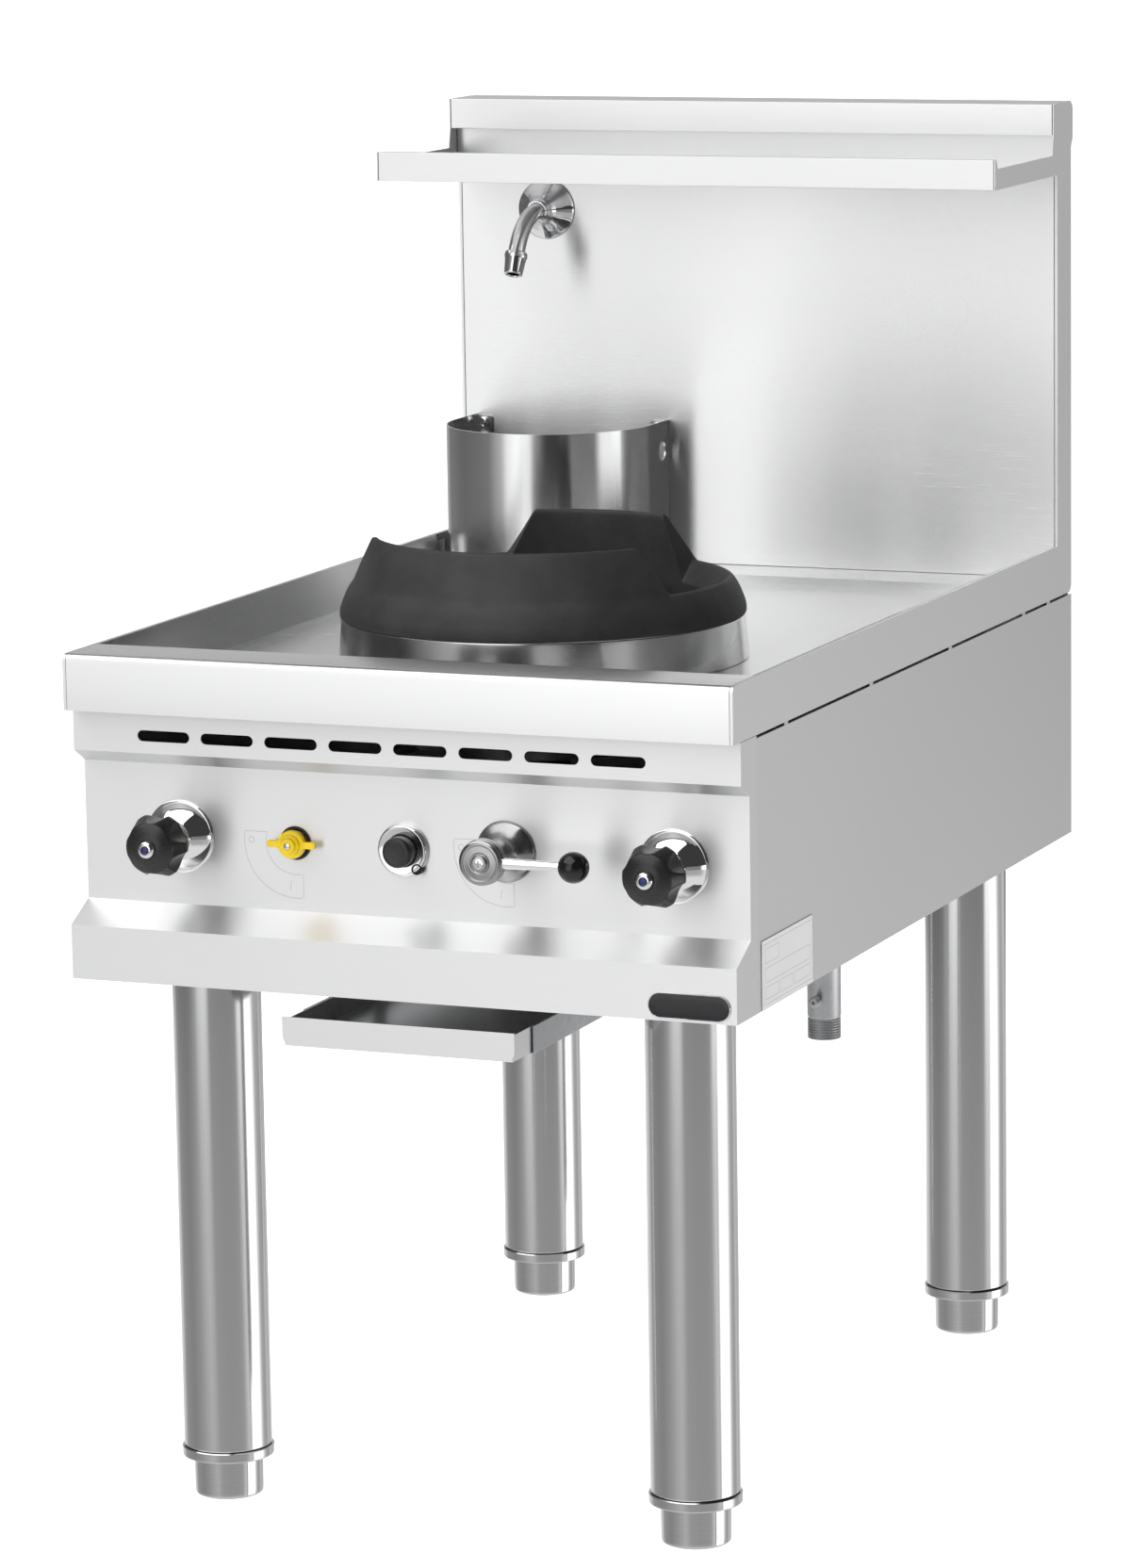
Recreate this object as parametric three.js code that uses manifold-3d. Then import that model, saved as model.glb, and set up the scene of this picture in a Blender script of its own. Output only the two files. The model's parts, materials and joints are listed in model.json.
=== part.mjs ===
// A single-burner commercial gas wok range: stainless worktop trough, splashback with
// shelf and tap, cast-iron wok ring, gas and water controls, drip tray and four round legs.
// Millimetres, +Z up, +X to the right and -Y to the front of the range.

import * as THREE from 'three';
import { mergeVertices } from 'three/addons/utils/BufferGeometryUtils.js';
import Module from 'manifold-3d';

const wasm = await Module();
wasm.setup();

// ---------------------------------------------------------------- driving dimensions

// Whole range. Y is measured from the front face of the worktop rim while building.
const width = 600;
const depth = 900;
const worktopHeight = 750;
const overallHeight = 1160;
const sheet = 1.5; // stainless sheet
const clearance = 0.3; // between two separate pieces

// Worktop: apron all round, flat front rim, sloping walls, trough floor and rear ledge.
const apronHeight = 48;
const apronBend = 6;
const sidePlateThickness = 3; // hemmed double at its visible edges
const frontRimDepth = 57;
const troughDepth = 38;
const troughWallSlope = 9; // how far a side wall leans in over the trough's depth
const ledgeDepth = 62;
const ledgeRise = 8;
const rearCornerNotch = 5;

// Splashback, its top band and its shelf.
const splashDepth = 42;
const bandProud = 16;
const bandHeight = 28;
const shelfReach = 172; // from the top band's face to the shelf's front lip
const shelfLipHeight = 27;
const shelfHemDepth = 8;
const shelfDrop = 65.5; // from the top of the range to the shelf's underside
const shelfSideHeight = 19;
const endPlateCorner = 9;
const endPlateBevel = 20;

// Body below the worktop.
const bodyDrop = 278; // from the worktop rim to the body's underside
const bodyGap = 2.5; // shadow gap between the apron and the side panels
const spacerLength = 9;
const spacerCount = 4;
const spacerFront = 120; // first and last of the row, from the front and the rear
const spacerRear = 148;
const spacerCorner = 74; // one more by the rear corner
const fasciaFlangeEnd = 53;
const panelFlange = 15;

// Fascia profile, front to back.
const stripFace = 2;
const stripHeight = 46.5;
const panelFace = 35.5;
const slopeHeight = 17;
const panelHeight = 119;
const panelChamfer = 11.5;
const ventFace = 16.5;
const fasciaHook = 10; // how far the fascia runs up behind the apron
const fasciaReturn = 26;
const ventCount = 8;
const ventPitch = 58.5;
const ventLength = 48;
const ventSlotHeight = 9.4;
const ventOffset = -11;
const ventRise = 15; // slot centres above the vent strip's lower bend

// Legs and their levelling feet.
const legRadius = 38.1;
const legWall = 1.5;
const legInset = 82.5; // leg axes from the range's sides
const frontLegY = 110;
const rearLegSetback = 70;
const collarRadius = 39.8;
const collarHeight = 8.5;
const hairline = 0.8;
const footHeight = 35.2;
const footRadius = 30;
const footTaper = 0.5;
const footStemRadius = 8;
const footStemTop = 100;
const socketLength = 40;
const basePlate = 2;

// Burner opening and wok ring.
const burnerY = 330;
const collarBaseRadius = 178.6;
const collarTopRadius = 175.6;
const collarWall = 2;
const ringBaseRadius = 177;
const ringBoreRadius = 142;
const ringTopRadius = 149;
const ringWallTop = 6;
const ringHeight = 72;
const ringLowHeight = 32;
const frontWallAngles = [211, 325];
const rearWallAngles = [65, 115];
const wallEndSlant = 8.5; // degrees that each wall end gains towards its root
const bowlRadius = 150;
const bowlFootRadius = 120;
const bowlDepth = 72;
const bowlOpening = 66;
const bowlFlange = 18;
const bowlWall = 2;
const headRadius = 62;
const headFlangeRadius = 76;
const headRise = 28; // above the bowl's floor
const headNeck = 16.2;
const jetRings = [[6, 22], [12, 46]];
const jetRadius = 6;
const jetBore = 2.6;
const jetHeight = 16;

// Gas train.
const controlRise = 58; // control axes above the panel's lower bend
const mixerMouthY = 215;
const mixerRadius = 22;
const mixerMouthRadius = 32;
const mixerWall = 3;
const mixerBend = 28;
const injectorRadius = 7;
const shutterRadius = 31;
const manifoldY = 85;
const manifoldDrop = 53.5; // below the control axes
const manifoldRadius = 10.5;
const inletInset = 60; // gas inlet from the right side
const inletY = 375;
const inletRadius = 15;
const inletWall = 3;
const inletDrop = 92; // below the body
const inletBend = 38;
const nippleRise = 36; // above the inlet's end
const nippleRadius = 5;
const nippleLength = 12;

// Controls, by their place across the panel.
const waterLeftX = -211;
const pilotX = -105;
const igniterX = -6;
const leverX = 86;
const leverRise = 4; // lever's axis above the other controls
const waterRightX = 234;
const bellRadius = 31;
const bellDepth = 30;
const knobRadius = 27.3;
const knobFaceRadius = 21.5;
const knobDepth = 35.5;
const knobLobes = 6;
const knobFluteRadius = 13;
const knobFluteDepth = 6.1;
const knobGap = 1;
const capRadius = 7.8;
const capDepth = 3.5;
const spindleRadius = 5;
const spindleGrip = 10; // length in the valve
const neckHoleRadius = 12;
const waterValveRadius = 14;
const waterValveLength = 52;
const leverBellRadius = 26;
const leverBellDepth = 26;
const leverNeckRadius = 8;
const leverHubRadius = 19.3;
const leverHubDepth = 14;
const leverReach = 60;
const leverLength = 80;
const leverRootRadius = 4.6;
const rodGrip = 5; // length in the hub
const leverTipRadius = 3.7;
const ballRadius = 13;
const gasValveRadius = 15;
const gasValveTail = 25; // behind the manifold's axis
const pilotValveRadius = 10;
const pilotValveTail = 12;
const pilotStemRadius = 4.5;
const pilotTipX = -80;
const pilotTipSetback = 30;
const pilotTipRise = 22;
const pilotRun = 60;
const pilotBend = 20;
const pilotTubeRadius = 4;
const pilotHoleRadius = 14.5;
const pilotHubRadius = 12;
const pilotBossRadius = 7;
const pilotWingSpan = 44;
const pilotWingHeight = 6;
const pilotWingCorner = 1.2;
const pilotReach = 18;
const bezelRadius = 22.3;
const bezelDepth = 6;
const buttonRadius = 13;
const buttonReach = 18;
const buttonTravel = 4;
const peepholeX = 13.5; // small hole at the bezel's edge, from the igniter's axis
const peepholeDrop = 15;
const peepholeRadius = 4.6;

// Tap, its riser and the water pipes.
const tapX = -209;
const tapDrop = 39.5; // below the shelf
const tapBellRadius = 28.5;
const tapBellDepth = 22;
const spoutRadius = 8;
const spoutWall = 2;
const spoutBend = 60;
const spoutTurn = 65; // degrees
const nozzleTopRadius = 11;
const nozzleTipRadius = 8.8;
const nozzleLength = 23;
const waterPipeRadius = 7.5;
const waterPipeBend = 16;
const waterManifoldRise = 33.5; // above the control axes
const waterManifoldY = 78;
const supplyInset = 38;

// Waste guard below the tap, and its waste pipe.
const guardInset = 113;
const guardWidth = 200;
const guardStraight = 50;
const guardHeight = 137; // above the rear ledge
const guardHoleRadius = 9;
const guardHoleSetback = 17;
const guardHoleDrop = 28;
const wasteX = -160;
const wasteSetback = 88; // in front of the splash panel
const wasteRadius = 16;
const wasteWall = 2;
const wasteDrop = 70;
const wasteBend = 26;

// Drip tray and its rails.
const trayWidth = 206;
const trayLength = 520;
const trayDrop = 44; // floor of the tray below the body
const trayWallHeight = 22;
const trayFrontWidth = 210;
const trayFrontHeight = 24;
const trayFrontCorner = 8;
const railStart = 42;
const railLedge = 14;
const hangerWidth = 30;
const hangerPlaces = [180, 470];
const panOpeningStart = 80; // opening in the base above the tray
const panOpeningInset = 13;

// Plates that carry no text.
const badgeInset = 41.2;
const badgeRise = 13;
const badgeSize = [72, 22];
const badgeThickness = 1.2;
const ratingStart = 59;
const ratingSize = [122, 58];
const ratingThickness = 0.5;

// ---------------------------------------------------------------- derived values

const halfWidth = width / 2;
const apronBottom = worktopHeight - apronHeight;
const troughFloor = worktopHeight - troughDepth;
const bodyUnderside = worktopHeight - bodyDrop;
const shelfUnderside = overallHeight - shelfDrop;
const tapHeight = shelfUnderside - tapDrop;
const ledgeTop = troughFloor + ledgeRise;
const splashFace = depth - splashDepth;
const ledgeFront = splashFace - ledgeDepth;
const innerHalf = halfWidth - sidePlateThickness - clearance;
const bandFace = splashFace - bandProud;
const bandBottom = overallHeight - bandHeight;
const shelfFront = bandFace - shelfReach;
const shelfLipTop = shelfUnderside + shelfLipHeight;
const capBottom = overallHeight - sheet - clearance;
const stripTop = bodyUnderside + stripHeight;
const panelBottom = stripTop + slopeHeight;
const panelTop = panelBottom + panelHeight;
const ventBottom = panelTop + panelChamfer;
const ventCentreHeight = ventBottom + ventRise;
const fasciaTop = apronBottom + fasciaHook;
const controlHeight = panelBottom + controlRise;
const leverHeight = controlHeight + leverRise;
const manifoldHeight = controlHeight - manifoldDrop;
const waterManifoldHeight = controlHeight + waterManifoldRise;
const supplyX = halfWidth - supplyInset;
const inletX = halfWidth - inletInset;
const bowlFloor = troughFloor - bowlDepth;
const headTop = bowlFloor + headRise;
const neckLow = bowlFloor - headNeck; // where the burner head meets the mixing tube
const inletLowEnd = bodyUnderside - inletDrop;
const nippleHeight = inletLowEnd + nippleRise;
const trayFloor = bodyUnderside - trayDrop;
const guardX = guardInset - halfWidth;
const wasteY = splashFace - wasteSetback;
const legSpreadX = halfWidth - legInset;
const rearLegY = depth - rearLegSetback;
const spacerPitch = (depth - spacerRear - spacerFront) / (spacerCount - 1);
const spacerPlaces = [
  ...Array.from({ length: spacerCount }, (_, i) => spacerFront + i * spacerPitch),
  depth - spacerCorner,
];
const sideTop = apronBottom - bodyGap;
const panelInner = panelFace + sheet;
const baseBottom = bodyUnderside + sheet + clearance;
const legPlaces = [
  ['front_left', -legSpreadX, frontLegY],
  ['front_right', legSpreadX, frontLegY],
  ['rear_left', -legSpreadX, rearLegY],
  ['rear_right', legSpreadX, rearLegY],
];
const knobFront = bellDepth + knobGap + knobDepth + capDepth;
const frontReach = panelFace - knobFront; // front face of the knob caps
const collarBottom = footHeight + clearance;
const ringBottom = worktopHeight;
const guardTop = ledgeTop + guardHeight;
const riserY = splashFace + splashDepth / 2;
const radians = THREE.MathUtils.degToRad;

// ---------------------------------------------------------------- materials

const finishes = {
  brushed: [0xc9cacb, 0.38, 0.9],
  polished: [0xd8d9da, 0.15, 1.0],
  chrome: [0xe4e5e6, 0.06, 1.0],
  castIron: [0x3a3a3b, 0.75, 0.3],
  blackPlastic: [0x141415, 0.35, 0.0],
  yellowPlastic: [0xe8c400, 0.45, 0.0],
  brass: [0xb59a55, 0.35, 0.9],
  darkSteel: [0x5c5d5f, 0.55, 0.8],
  galvanised: [0xa6a8aa, 0.5, 0.8],
  blueDot: [0x3c62b5, 0.25, 0.2],
  plate: [0xe6e7e8, 0.5, 0.1],
  badge: [0x1c1c1e, 0.3, 0.2],
};

function material(finish) {
  const [color, roughness, metalness] = finishes[finish];
  return new THREE.MeshStandardMaterial({ color, roughness, metalness });
}

// ---------------------------------------------------------------- geometry helpers

// Welds shared corners, drops faces that collapsed on an axis, and turns faces outward.
function weld(geometry) {
  const bare = geometry.clone();
  bare.deleteAttribute('normal');
  bare.deleteAttribute('uv');
  const welded = mergeVertices(bare, 1e-4);
  const source = welded.index.array;
  const faces = [];
  for (let i = 0; i < source.length; i += 3) {
    const [a, b, c] = [source[i], source[i + 1], source[i + 2]];
    if (a !== b && b !== c && c !== a) faces.push(a, b, c);
  }
  if (signedVolume(welded.attributes.position.array, faces) < 0) {
    for (let i = 0; i < faces.length; i += 3) {
      [faces[i + 1], faces[i + 2]] = [faces[i + 2], faces[i + 1]];
    }
  }
  welded.setIndex(faces);
  return welded;
}

function signedVolume(points, faces) {
  const [p, q, r] = [new THREE.Vector3(), new THREE.Vector3(), new THREE.Vector3()];
  let total = 0;
  for (let i = 0; i < faces.length; i += 3) {
    p.fromArray(points, faces[i] * 3);
    q.fromArray(points, faces[i + 1] * 3);
    r.fromArray(points, faces[i + 2] * 3);
    total += p.dot(q.cross(r));
  }
  return total / 6;
}

function toSolid(geometry) {
  const welded = weld(geometry);
  const vertProperties = new Float32Array(welded.attributes.position.array);
  const triVerts = new Uint32Array(welded.index.array);
  return new wasm.Manifold(new wasm.Mesh({ numProp: 3, vertProperties, triVerts }));
}

function toGeometry(solid) {
  const mesh = solid.getMesh();
  const geometry = new THREE.BufferGeometry();
  geometry.setAttribute('position', new THREE.BufferAttribute(mesh.vertProperties, 3));
  geometry.setIndex(new THREE.BufferAttribute(mesh.triVerts, 1));
  return geometry;
}

function join(first, ...others) {
  return toGeometry(others.reduce((sum, next) => sum.add(toSolid(next)), toSolid(first)));
}

function cut(first, ...tools) {
  return toGeometry(tools.reduce((rest, tool) => rest.subtract(toSolid(tool)), toSolid(first)));
}

function common(first, second) {
  return toGeometry(toSolid(first).intersect(toSolid(second)));
}

function box([x0, x1], [y0, y1], [z0, z1]) {
  const geometry = new THREE.BoxGeometry(x1 - x0, y1 - y0, z1 - z0);
  return geometry.translate((x0 + x1) / 2, (y0 + y1) / 2, (z0 + z1) / 2);
}

// A box whose top and bottom outlines differ: each outline is [x0, x1, y0, y1].
function taperedBox(low, high, z0, z1) {
  const corners = (o, z) => [[o[0], o[2], z], [o[1], o[2], z], [o[1], o[3], z], [o[0], o[3], z]];
  return slab(corners(low, z0), corners(high, z1));
}

// A closed solid between two outlines with the same number of corners.
function slab(low, high) {
  const count = low.length;
  const faces = [];
  for (let i = 0; i < count; i += 1) {
    const j = (i + 1) % count;
    faces.push(i, j, count + j, i, count + j, count + i);
  }
  for (let i = 1; i < count - 1; i += 1) {
    faces.push(0, i + 1, i, count, count + i, count + i + 1);
  }
  const geometry = new THREE.BufferGeometry();
  geometry.setAttribute('position', new THREE.Float32BufferAttribute([...low, ...high].flat(), 3));
  geometry.setIndex(faces);
  return geometry;
}

// Extrusions of a flat outline. X: outline in (y, z). Y: outline in (x, z). Z: in (x, y).
function extrude(outline, length, holes = []) {
  const toVectors = (points) => points.map(([u, v]) => new THREE.Vector2(u, v));
  const shape = new THREE.Shape(toVectors(outline));
  shape.holes = holes.map((hole) => new THREE.Path(toVectors(hole)));
  return new THREE.ExtrudeGeometry(shape, { depth: length, bevelEnabled: false });
}

function extrudeX(outline, [x0, x1], holes) {
  const basis = new THREE.Matrix4().makeBasis(
    new THREE.Vector3(0, 1, 0),
    new THREE.Vector3(0, 0, 1),
    new THREE.Vector3(1, 0, 0),
  );
  return extrude(outline, x1 - x0, holes).applyMatrix4(basis).translate(x0, 0, 0);
}

function extrudeY(outline, [y0, y1], holes) {
  const basis = new THREE.Matrix4().makeBasis(
    new THREE.Vector3(1, 0, 0),
    new THREE.Vector3(0, 0, 1),
    new THREE.Vector3(0, -1, 0),
  );
  return extrude(outline, y1 - y0, holes).applyMatrix4(basis).translate(0, y1, 0);
}

function extrudeZ(outline, [z0, z1], holes) {
  return extrude(outline, z1 - z0, holes).translate(0, 0, z0);
}

// Points of an arc, angles in degrees.
function arc(u, v, radius, from, to, steps = 6) {
  return Array.from({ length: steps + 1 }, (_, i) => {
    const angle = radians(from + ((to - from) * i) / steps);
    return [u + radius * Math.cos(angle), v + radius * Math.sin(angle)];
  });
}

function circle(u, v, radius, steps = 24) {
  return arc(u, v, radius, 0, 360, steps).slice(0, -1);
}

function roundedRectangle(u, v, [length, height], radius, steps = 5) {
  const du = length / 2 - radius;
  const dv = height / 2 - radius;
  return [
    ...arc(u + du, v + dv, radius, 0, 90, steps),
    ...arc(u - du, v + dv, radius, 90, 180, steps),
    ...arc(u - du, v - dv, radius, 180, 270, steps),
    ...arc(u + du, v - dv, radius, 270, 360, steps),
  ];
}

// A folded sheet: the outer face's line, and the same line set in by the thickness on
// its left-hand side.
function folded(line, thickness) {
  const inner = line.map((point, i) => {
    const normals = [];
    if (i > 0) normals.push(leftNormal(line[i - 1], point));
    if (i < line.length - 1) normals.push(leftNormal(point, line[i + 1]));
    const [a, b] = [normals[0], normals[normals.length - 1]];
    const scale = thickness / (1 + a[0] * b[0] + a[1] * b[1]);
    return [point[0] + (a[0] + b[0]) * scale, point[1] + (a[1] + b[1]) * scale];
  });
  return [...line, ...inner.reverse()];
}

function leftNormal([u0, v0], [u1, v1]) {
  const length = Math.hypot(u1 - u0, v1 - v0);
  return [(v0 - v1) / length, (u1 - u0) / length];
}

// A turned solid about the Z axis from [radius, height] points.
function turned(profile, segments = 32) {
  const points = [...profile, profile[0]].map(([r, h]) => new THREE.Vector2(r, h));
  return new THREE.LatheGeometry(points, segments).rotateX(Math.PI / 2);
}

// The same about an axis along -Y: heights count forward from the face at y.
function turnedForward(profile, [x, y, z], segments = 32) {
  return turned(profile, segments).rotateX(Math.PI / 2).translate(x, y, z);
}

function rodY(radius, [y0, y1], x, z, segments = 20) {
  return turnedForward([[0, 0], [radius, 0], [radius, y1 - y0], [0, y1 - y0]], [x, y1, z], segments);
}

// A line of points with each inner corner turned into a bend of the given radius.
function bentPath(corners, bend) {
  const path = new THREE.CurvePath();
  const points = corners.map((corner) => new THREE.Vector3(...corner));
  let start = points[0];
  for (let i = 1; i < points.length - 1; i += 1) {
    const before = points[i - 1].clone().sub(points[i]).normalize();
    const after = points[i + 1].clone().sub(points[i]).normalize();
    const enter = points[i].clone().addScaledVector(before, bend);
    const leave = points[i].clone().addScaledVector(after, bend);
    path.add(new THREE.LineCurve3(start, enter));
    path.add(new THREE.QuadraticBezierCurve3(enter, points[i], leave));
    start = leave;
  }
  path.add(new THREE.LineCurve3(start, points[points.length - 1]));
  return path;
}

// A pipe whose section is swept through rings set square to the path at chosen points:
// the two ends of every straight and five places in every bend.
function pipe(corners, bend, radius, wall = 0, sides = 12) {
  const path = bentPath(corners, bend);
  const places = [];
  path.curves.forEach((curve) => {
    const steps = curve.isLineCurve3 ? 1 : 4;
    for (let i = 0; i < steps; i += 1) places.push([curve.getPoint(i / steps), curve.getTangent(i / steps)]);
  });
  const last = path.curves[path.curves.length - 1];
  places.push([last.getPoint(1), last.getTangent(1)]);
  const outer = toSolid(sweptRings(places, radius, sides));
  if (wall === 0) return toGeometry(outer);
  return toGeometry(outer.subtract(toSolid(sweptRings(lengthened(places, 1), radius - wall, sides))));
}

// The same places with both ends moved outward, for a bore that clears the end faces.
function lengthened(places, extra) {
  const moved = places.map(([point, tangent]) => [point.clone(), tangent]);
  moved[0][0].addScaledVector(moved[0][1], -extra);
  const end = moved.length - 1;
  moved[end][0].addScaledVector(moved[end][1], extra);
  return moved;
}

function sweptRings(places, radius, sides) {
  const rings = [];
  let side = new THREE.Vector3(1, 0, 0);
  if (Math.abs(places[0][1].x) > 0.9) side = new THREE.Vector3(0, 0, 1);
  for (const [point, tangent] of places) {
    side = side.clone().addScaledVector(tangent, -side.dot(tangent)).normalize();
    const up = tangent.clone().cross(side);
    const ring = [];
    for (let i = 0; i < sides; i += 1) {
      const angle = (2 * Math.PI * i) / sides;
      const corner = point.clone();
      corner.addScaledVector(side, radius * Math.cos(angle)).addScaledVector(up, radius * Math.sin(angle));
      ring.push(corner.toArray());
    }
    rings.push(ring);
  }
  return loft(rings);
}

function loft(rings) {
  const count = rings[0].length;
  const faces = [];
  for (let k = 0; k < rings.length - 1; k += 1) {
    for (let i = 0; i < count; i += 1) {
      const j = (i + 1) % count;
      const [low, high] = [k * count, (k + 1) * count];
      faces.push(low + i, low + j, high + j, low + i, high + j, high + i);
    }
  }
  const end = (rings.length - 1) * count;
  for (let i = 1; i < count - 1; i += 1) {
    faces.push(0, i + 1, i, end, end + i, end + i + 1);
  }
  const geometry = new THREE.BufferGeometry();
  geometry.setAttribute('position', new THREE.Float32BufferAttribute(rings.flat(2), 3));
  geometry.setIndex(faces);
  return geometry;
}

const range = new THREE.Group();

function add(name, geometry, finish) {
  const mesh = new THREE.Mesh(weld(geometry), material(finish));
  mesh.name = name;
  range.add(mesh);
}

const sides = [['left', -1], ['right', 1]];

// Spans of X that lie against one side of the range.
function sideSpan(side, near, far) {
  return side < 0 ? [-far, -near] : [near, far];
}

// ---------------------------------------------------------------- worktop

// Front apron and rim, sloping trough walls, trough floor, rear ledge, and the holes for
// the burner bowl, the waste and the riser.
function worktopTray() {
  const span = [-innerHalf, innerHalf];
  const rim = extrudeX(
    folded([
      [frontRimDepth + sheet, worktopHeight],
      ...arc(apronBend, worktopHeight - apronBend, apronBend, 90, 180),
      [0, apronBottom],
    ], sheet),
    span,
  );
  const half = innerHalf - troughWallSlope;
  const under = troughFloor - sheet;
  const shell = taperedBox(
    [-half, half, frontRimDepth + 4, ledgeFront + sheet],
    [-innerHalf, innerHalf, frontRimDepth, ledgeFront + sheet],
    under,
    worktopHeight,
  );
  const trough = taperedBox(
    [-half + sheet, half - sheet, frontRimDepth + 4 + sheet, ledgeFront],
    [-innerHalf + sheet, innerHalf - sheet, frontRimDepth + sheet, ledgeFront],
    troughFloor,
    worktopHeight + 0.01,
  );
  const ledgeShell = box(span, [ledgeFront, splashFace - 1], [ledgeTop - sheet, worktopHeight]);
  const ledgeSpace = box(
    [-innerHalf + sheet, innerHalf - sheet],
    [ledgeFront - 20, splashFace],
    [ledgeTop, worktopHeight + 1],
  );
  const shelfUnderSplash = box(
    span,
    [splashFace - 2, depth - sheet - clearance],
    [ledgeTop - sheet, ledgeTop],
  );
  const solid = cut(join(rim, shell, ledgeShell, shelfUnderSplash), trough, ledgeSpace);
  const burnerHole = extrudeZ(circle(0, burnerY, bowlRadius + 1, 48), [under - 5, troughFloor + 5]);
  const wasteHole = extrudeZ(circle(wasteX, wasteY, wasteRadius - wasteWall), [under - 5, troughFloor + 5]);
  const riserHole = extrudeZ(circle(tapX, riserY, waterPipeRadius + 1.5), [under, ledgeTop + 5]);
  return cut(solid, burnerHole, wasteHole, riserHole);
}

// One plate forms the side of the apron and the side of the splashback.
function sidePlate(side) {
  const outline = [
    [apronBend, worktopHeight],
    [splashFace, worktopHeight],
    [splashFace, capBottom],
    [depth, capBottom],
    [depth, apronBottom + rearCornerNotch],
    [depth - rearCornerNotch, apronBottom],
    [0, apronBottom],
    ...arc(apronBend, worktopHeight - apronBend, apronBend, 180, 90).slice(0, -1),
  ];
  return extrudeX(outline, sideSpan(side, halfWidth - sidePlateThickness, halfWidth));
}

// ---------------------------------------------------------------- splashback and shelf

function splashPanel() {
  const outline = [
    [-innerHalf, ledgeTop + clearance],
    [innerHalf, ledgeTop + clearance],
    [innerHalf, capBottom],
    [-innerHalf, capBottom],
  ];
  const tapHole = circle(tapX, tapHeight, spoutRadius + 2, 16);
  return extrudeY(outline, [splashFace, splashFace + sheet], [tapHole]);
}

function rearPanel() {
  const outline = [
    [-innerHalf, bodyUnderside],
    [innerHalf, bodyUnderside],
    [innerHalf, capBottom],
    [-innerHalf, capBottom],
  ];
  const wasteHole = circle(wasteX, troughFloor - wasteDrop, wasteRadius + 1);
  const supplyHole = circle(supplyX, waterManifoldHeight, waterPipeRadius + 1, 16);
  return extrudeY(outline, [depth - sheet, depth], [wasteHole, supplyHole]);
}

// Folded cap along the top: its face stands proud of the splash panel.
function topBand() {
  const line = [
    [depth, overallHeight],
    [bandFace, overallHeight],
    [bandFace, bandBottom],
    [splashFace - clearance, bandBottom],
  ];
  return extrudeX(folded(line, sheet), [-halfWidth, halfWidth]);
}

function shelf() {
  const line = [
    [shelfFront + shelfHemDepth, shelfLipTop],
    [shelfFront, shelfLipTop],
    [shelfFront, shelfUnderside],
    [splashFace - clearance, shelfUnderside],
    [splashFace - clearance, bandBottom - clearance],
  ];
  return extrudeX(folded(line, sheet), [-halfWidth, halfWidth]);
}

// End plate of the shelf, carried up over the side of the splashback.
function shelfEnd(side) {
  const sideWallTop = shelfUnderside + shelfSideHeight;
  const outline = [
    [shelfFront, shelfUnderside],
    [splashFace + endPlateBevel, shelfUnderside],
    [depth, shelfUnderside + endPlateBevel * 1.6],
    ...arc(depth - endPlateCorner, overallHeight - endPlateCorner, endPlateCorner, 0, 90, 5),
    [bandFace, overallHeight],
    [bandFace, bandBottom],
    [bandFace - 4, sideWallTop],
    [shelfFront + 7, sideWallTop],
    [shelfFront + 3, shelfLipTop],
    [shelfFront, shelfLipTop],
  ];
  const near = halfWidth + clearance;
  return extrudeX(outline, sideSpan(side, near, near + sheet));
}

// ---------------------------------------------------------------- body

function fasciaLine() {
  return [
    [ventFace + fasciaReturn, fasciaTop],
    [ventFace, fasciaTop],
    [ventFace, ventBottom],
    [panelFace, panelTop],
    [panelFace, panelBottom],
    [stripFace, stripTop],
    [stripFace, bodyUnderside],
    [stripFace + fasciaReturn, bodyUnderside],
  ];
}

function controlFascia() {
  const front = extrudeX(folded(fasciaLine(), sheet), [-halfWidth, halfWidth]);
  const flangeTop = apronBottom - clearance;
  const flangeOutline = [
    [ventFace, flangeTop],
    [ventFace, ventBottom],
    [panelFace, panelTop],
    [panelFace, panelBottom],
    [stripFace, stripTop],
    [stripFace, bodyUnderside],
    [fasciaFlangeEnd, bodyUnderside],
    [fasciaFlangeEnd, flangeTop],
  ];
  const flanges = sides.map(([, side]) => {
    return extrudeX(flangeOutline, sideSpan(side, halfWidth - sheet, halfWidth));
  });
  const slots = Array.from({ length: ventCount }, (_, i) => {
    const x = ventOffset + (i - (ventCount - 1) / 2) * ventPitch;
    const size = [ventLength, ventSlotHeight];
    const outline = roundedRectangle(x, ventCentreHeight, size, ventSlotHeight / 2 - 0.01, 4);
    return extrudeY(outline, [ventFace - 5, ventFace + 5]);
  });
  const holes = [
    [waterLeftX, controlHeight, neckHoleRadius],
    [waterRightX, controlHeight, neckHoleRadius],
    [leverX, leverHeight, neckHoleRadius],
    [pilotX, controlHeight, pilotHoleRadius],
    [igniterX, controlHeight, buttonRadius + 2],
    [igniterX + peepholeX, controlHeight - peepholeDrop, peepholeRadius],
  ].map(([x, z, radius]) => extrudeY(circle(x, z, radius, 24), [panelFace - 5, panelFace + 5]));
  const corners = sides.map(([, side]) => box(
    sideSpan(side, innerHalf, halfWidth + 1),
    [0, fasciaFlangeEnd],
    [flangeTop, fasciaTop + 1],
  ));
  return cut(join(front, ...flanges), ...slots, ...holes, ...corners);
}

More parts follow.
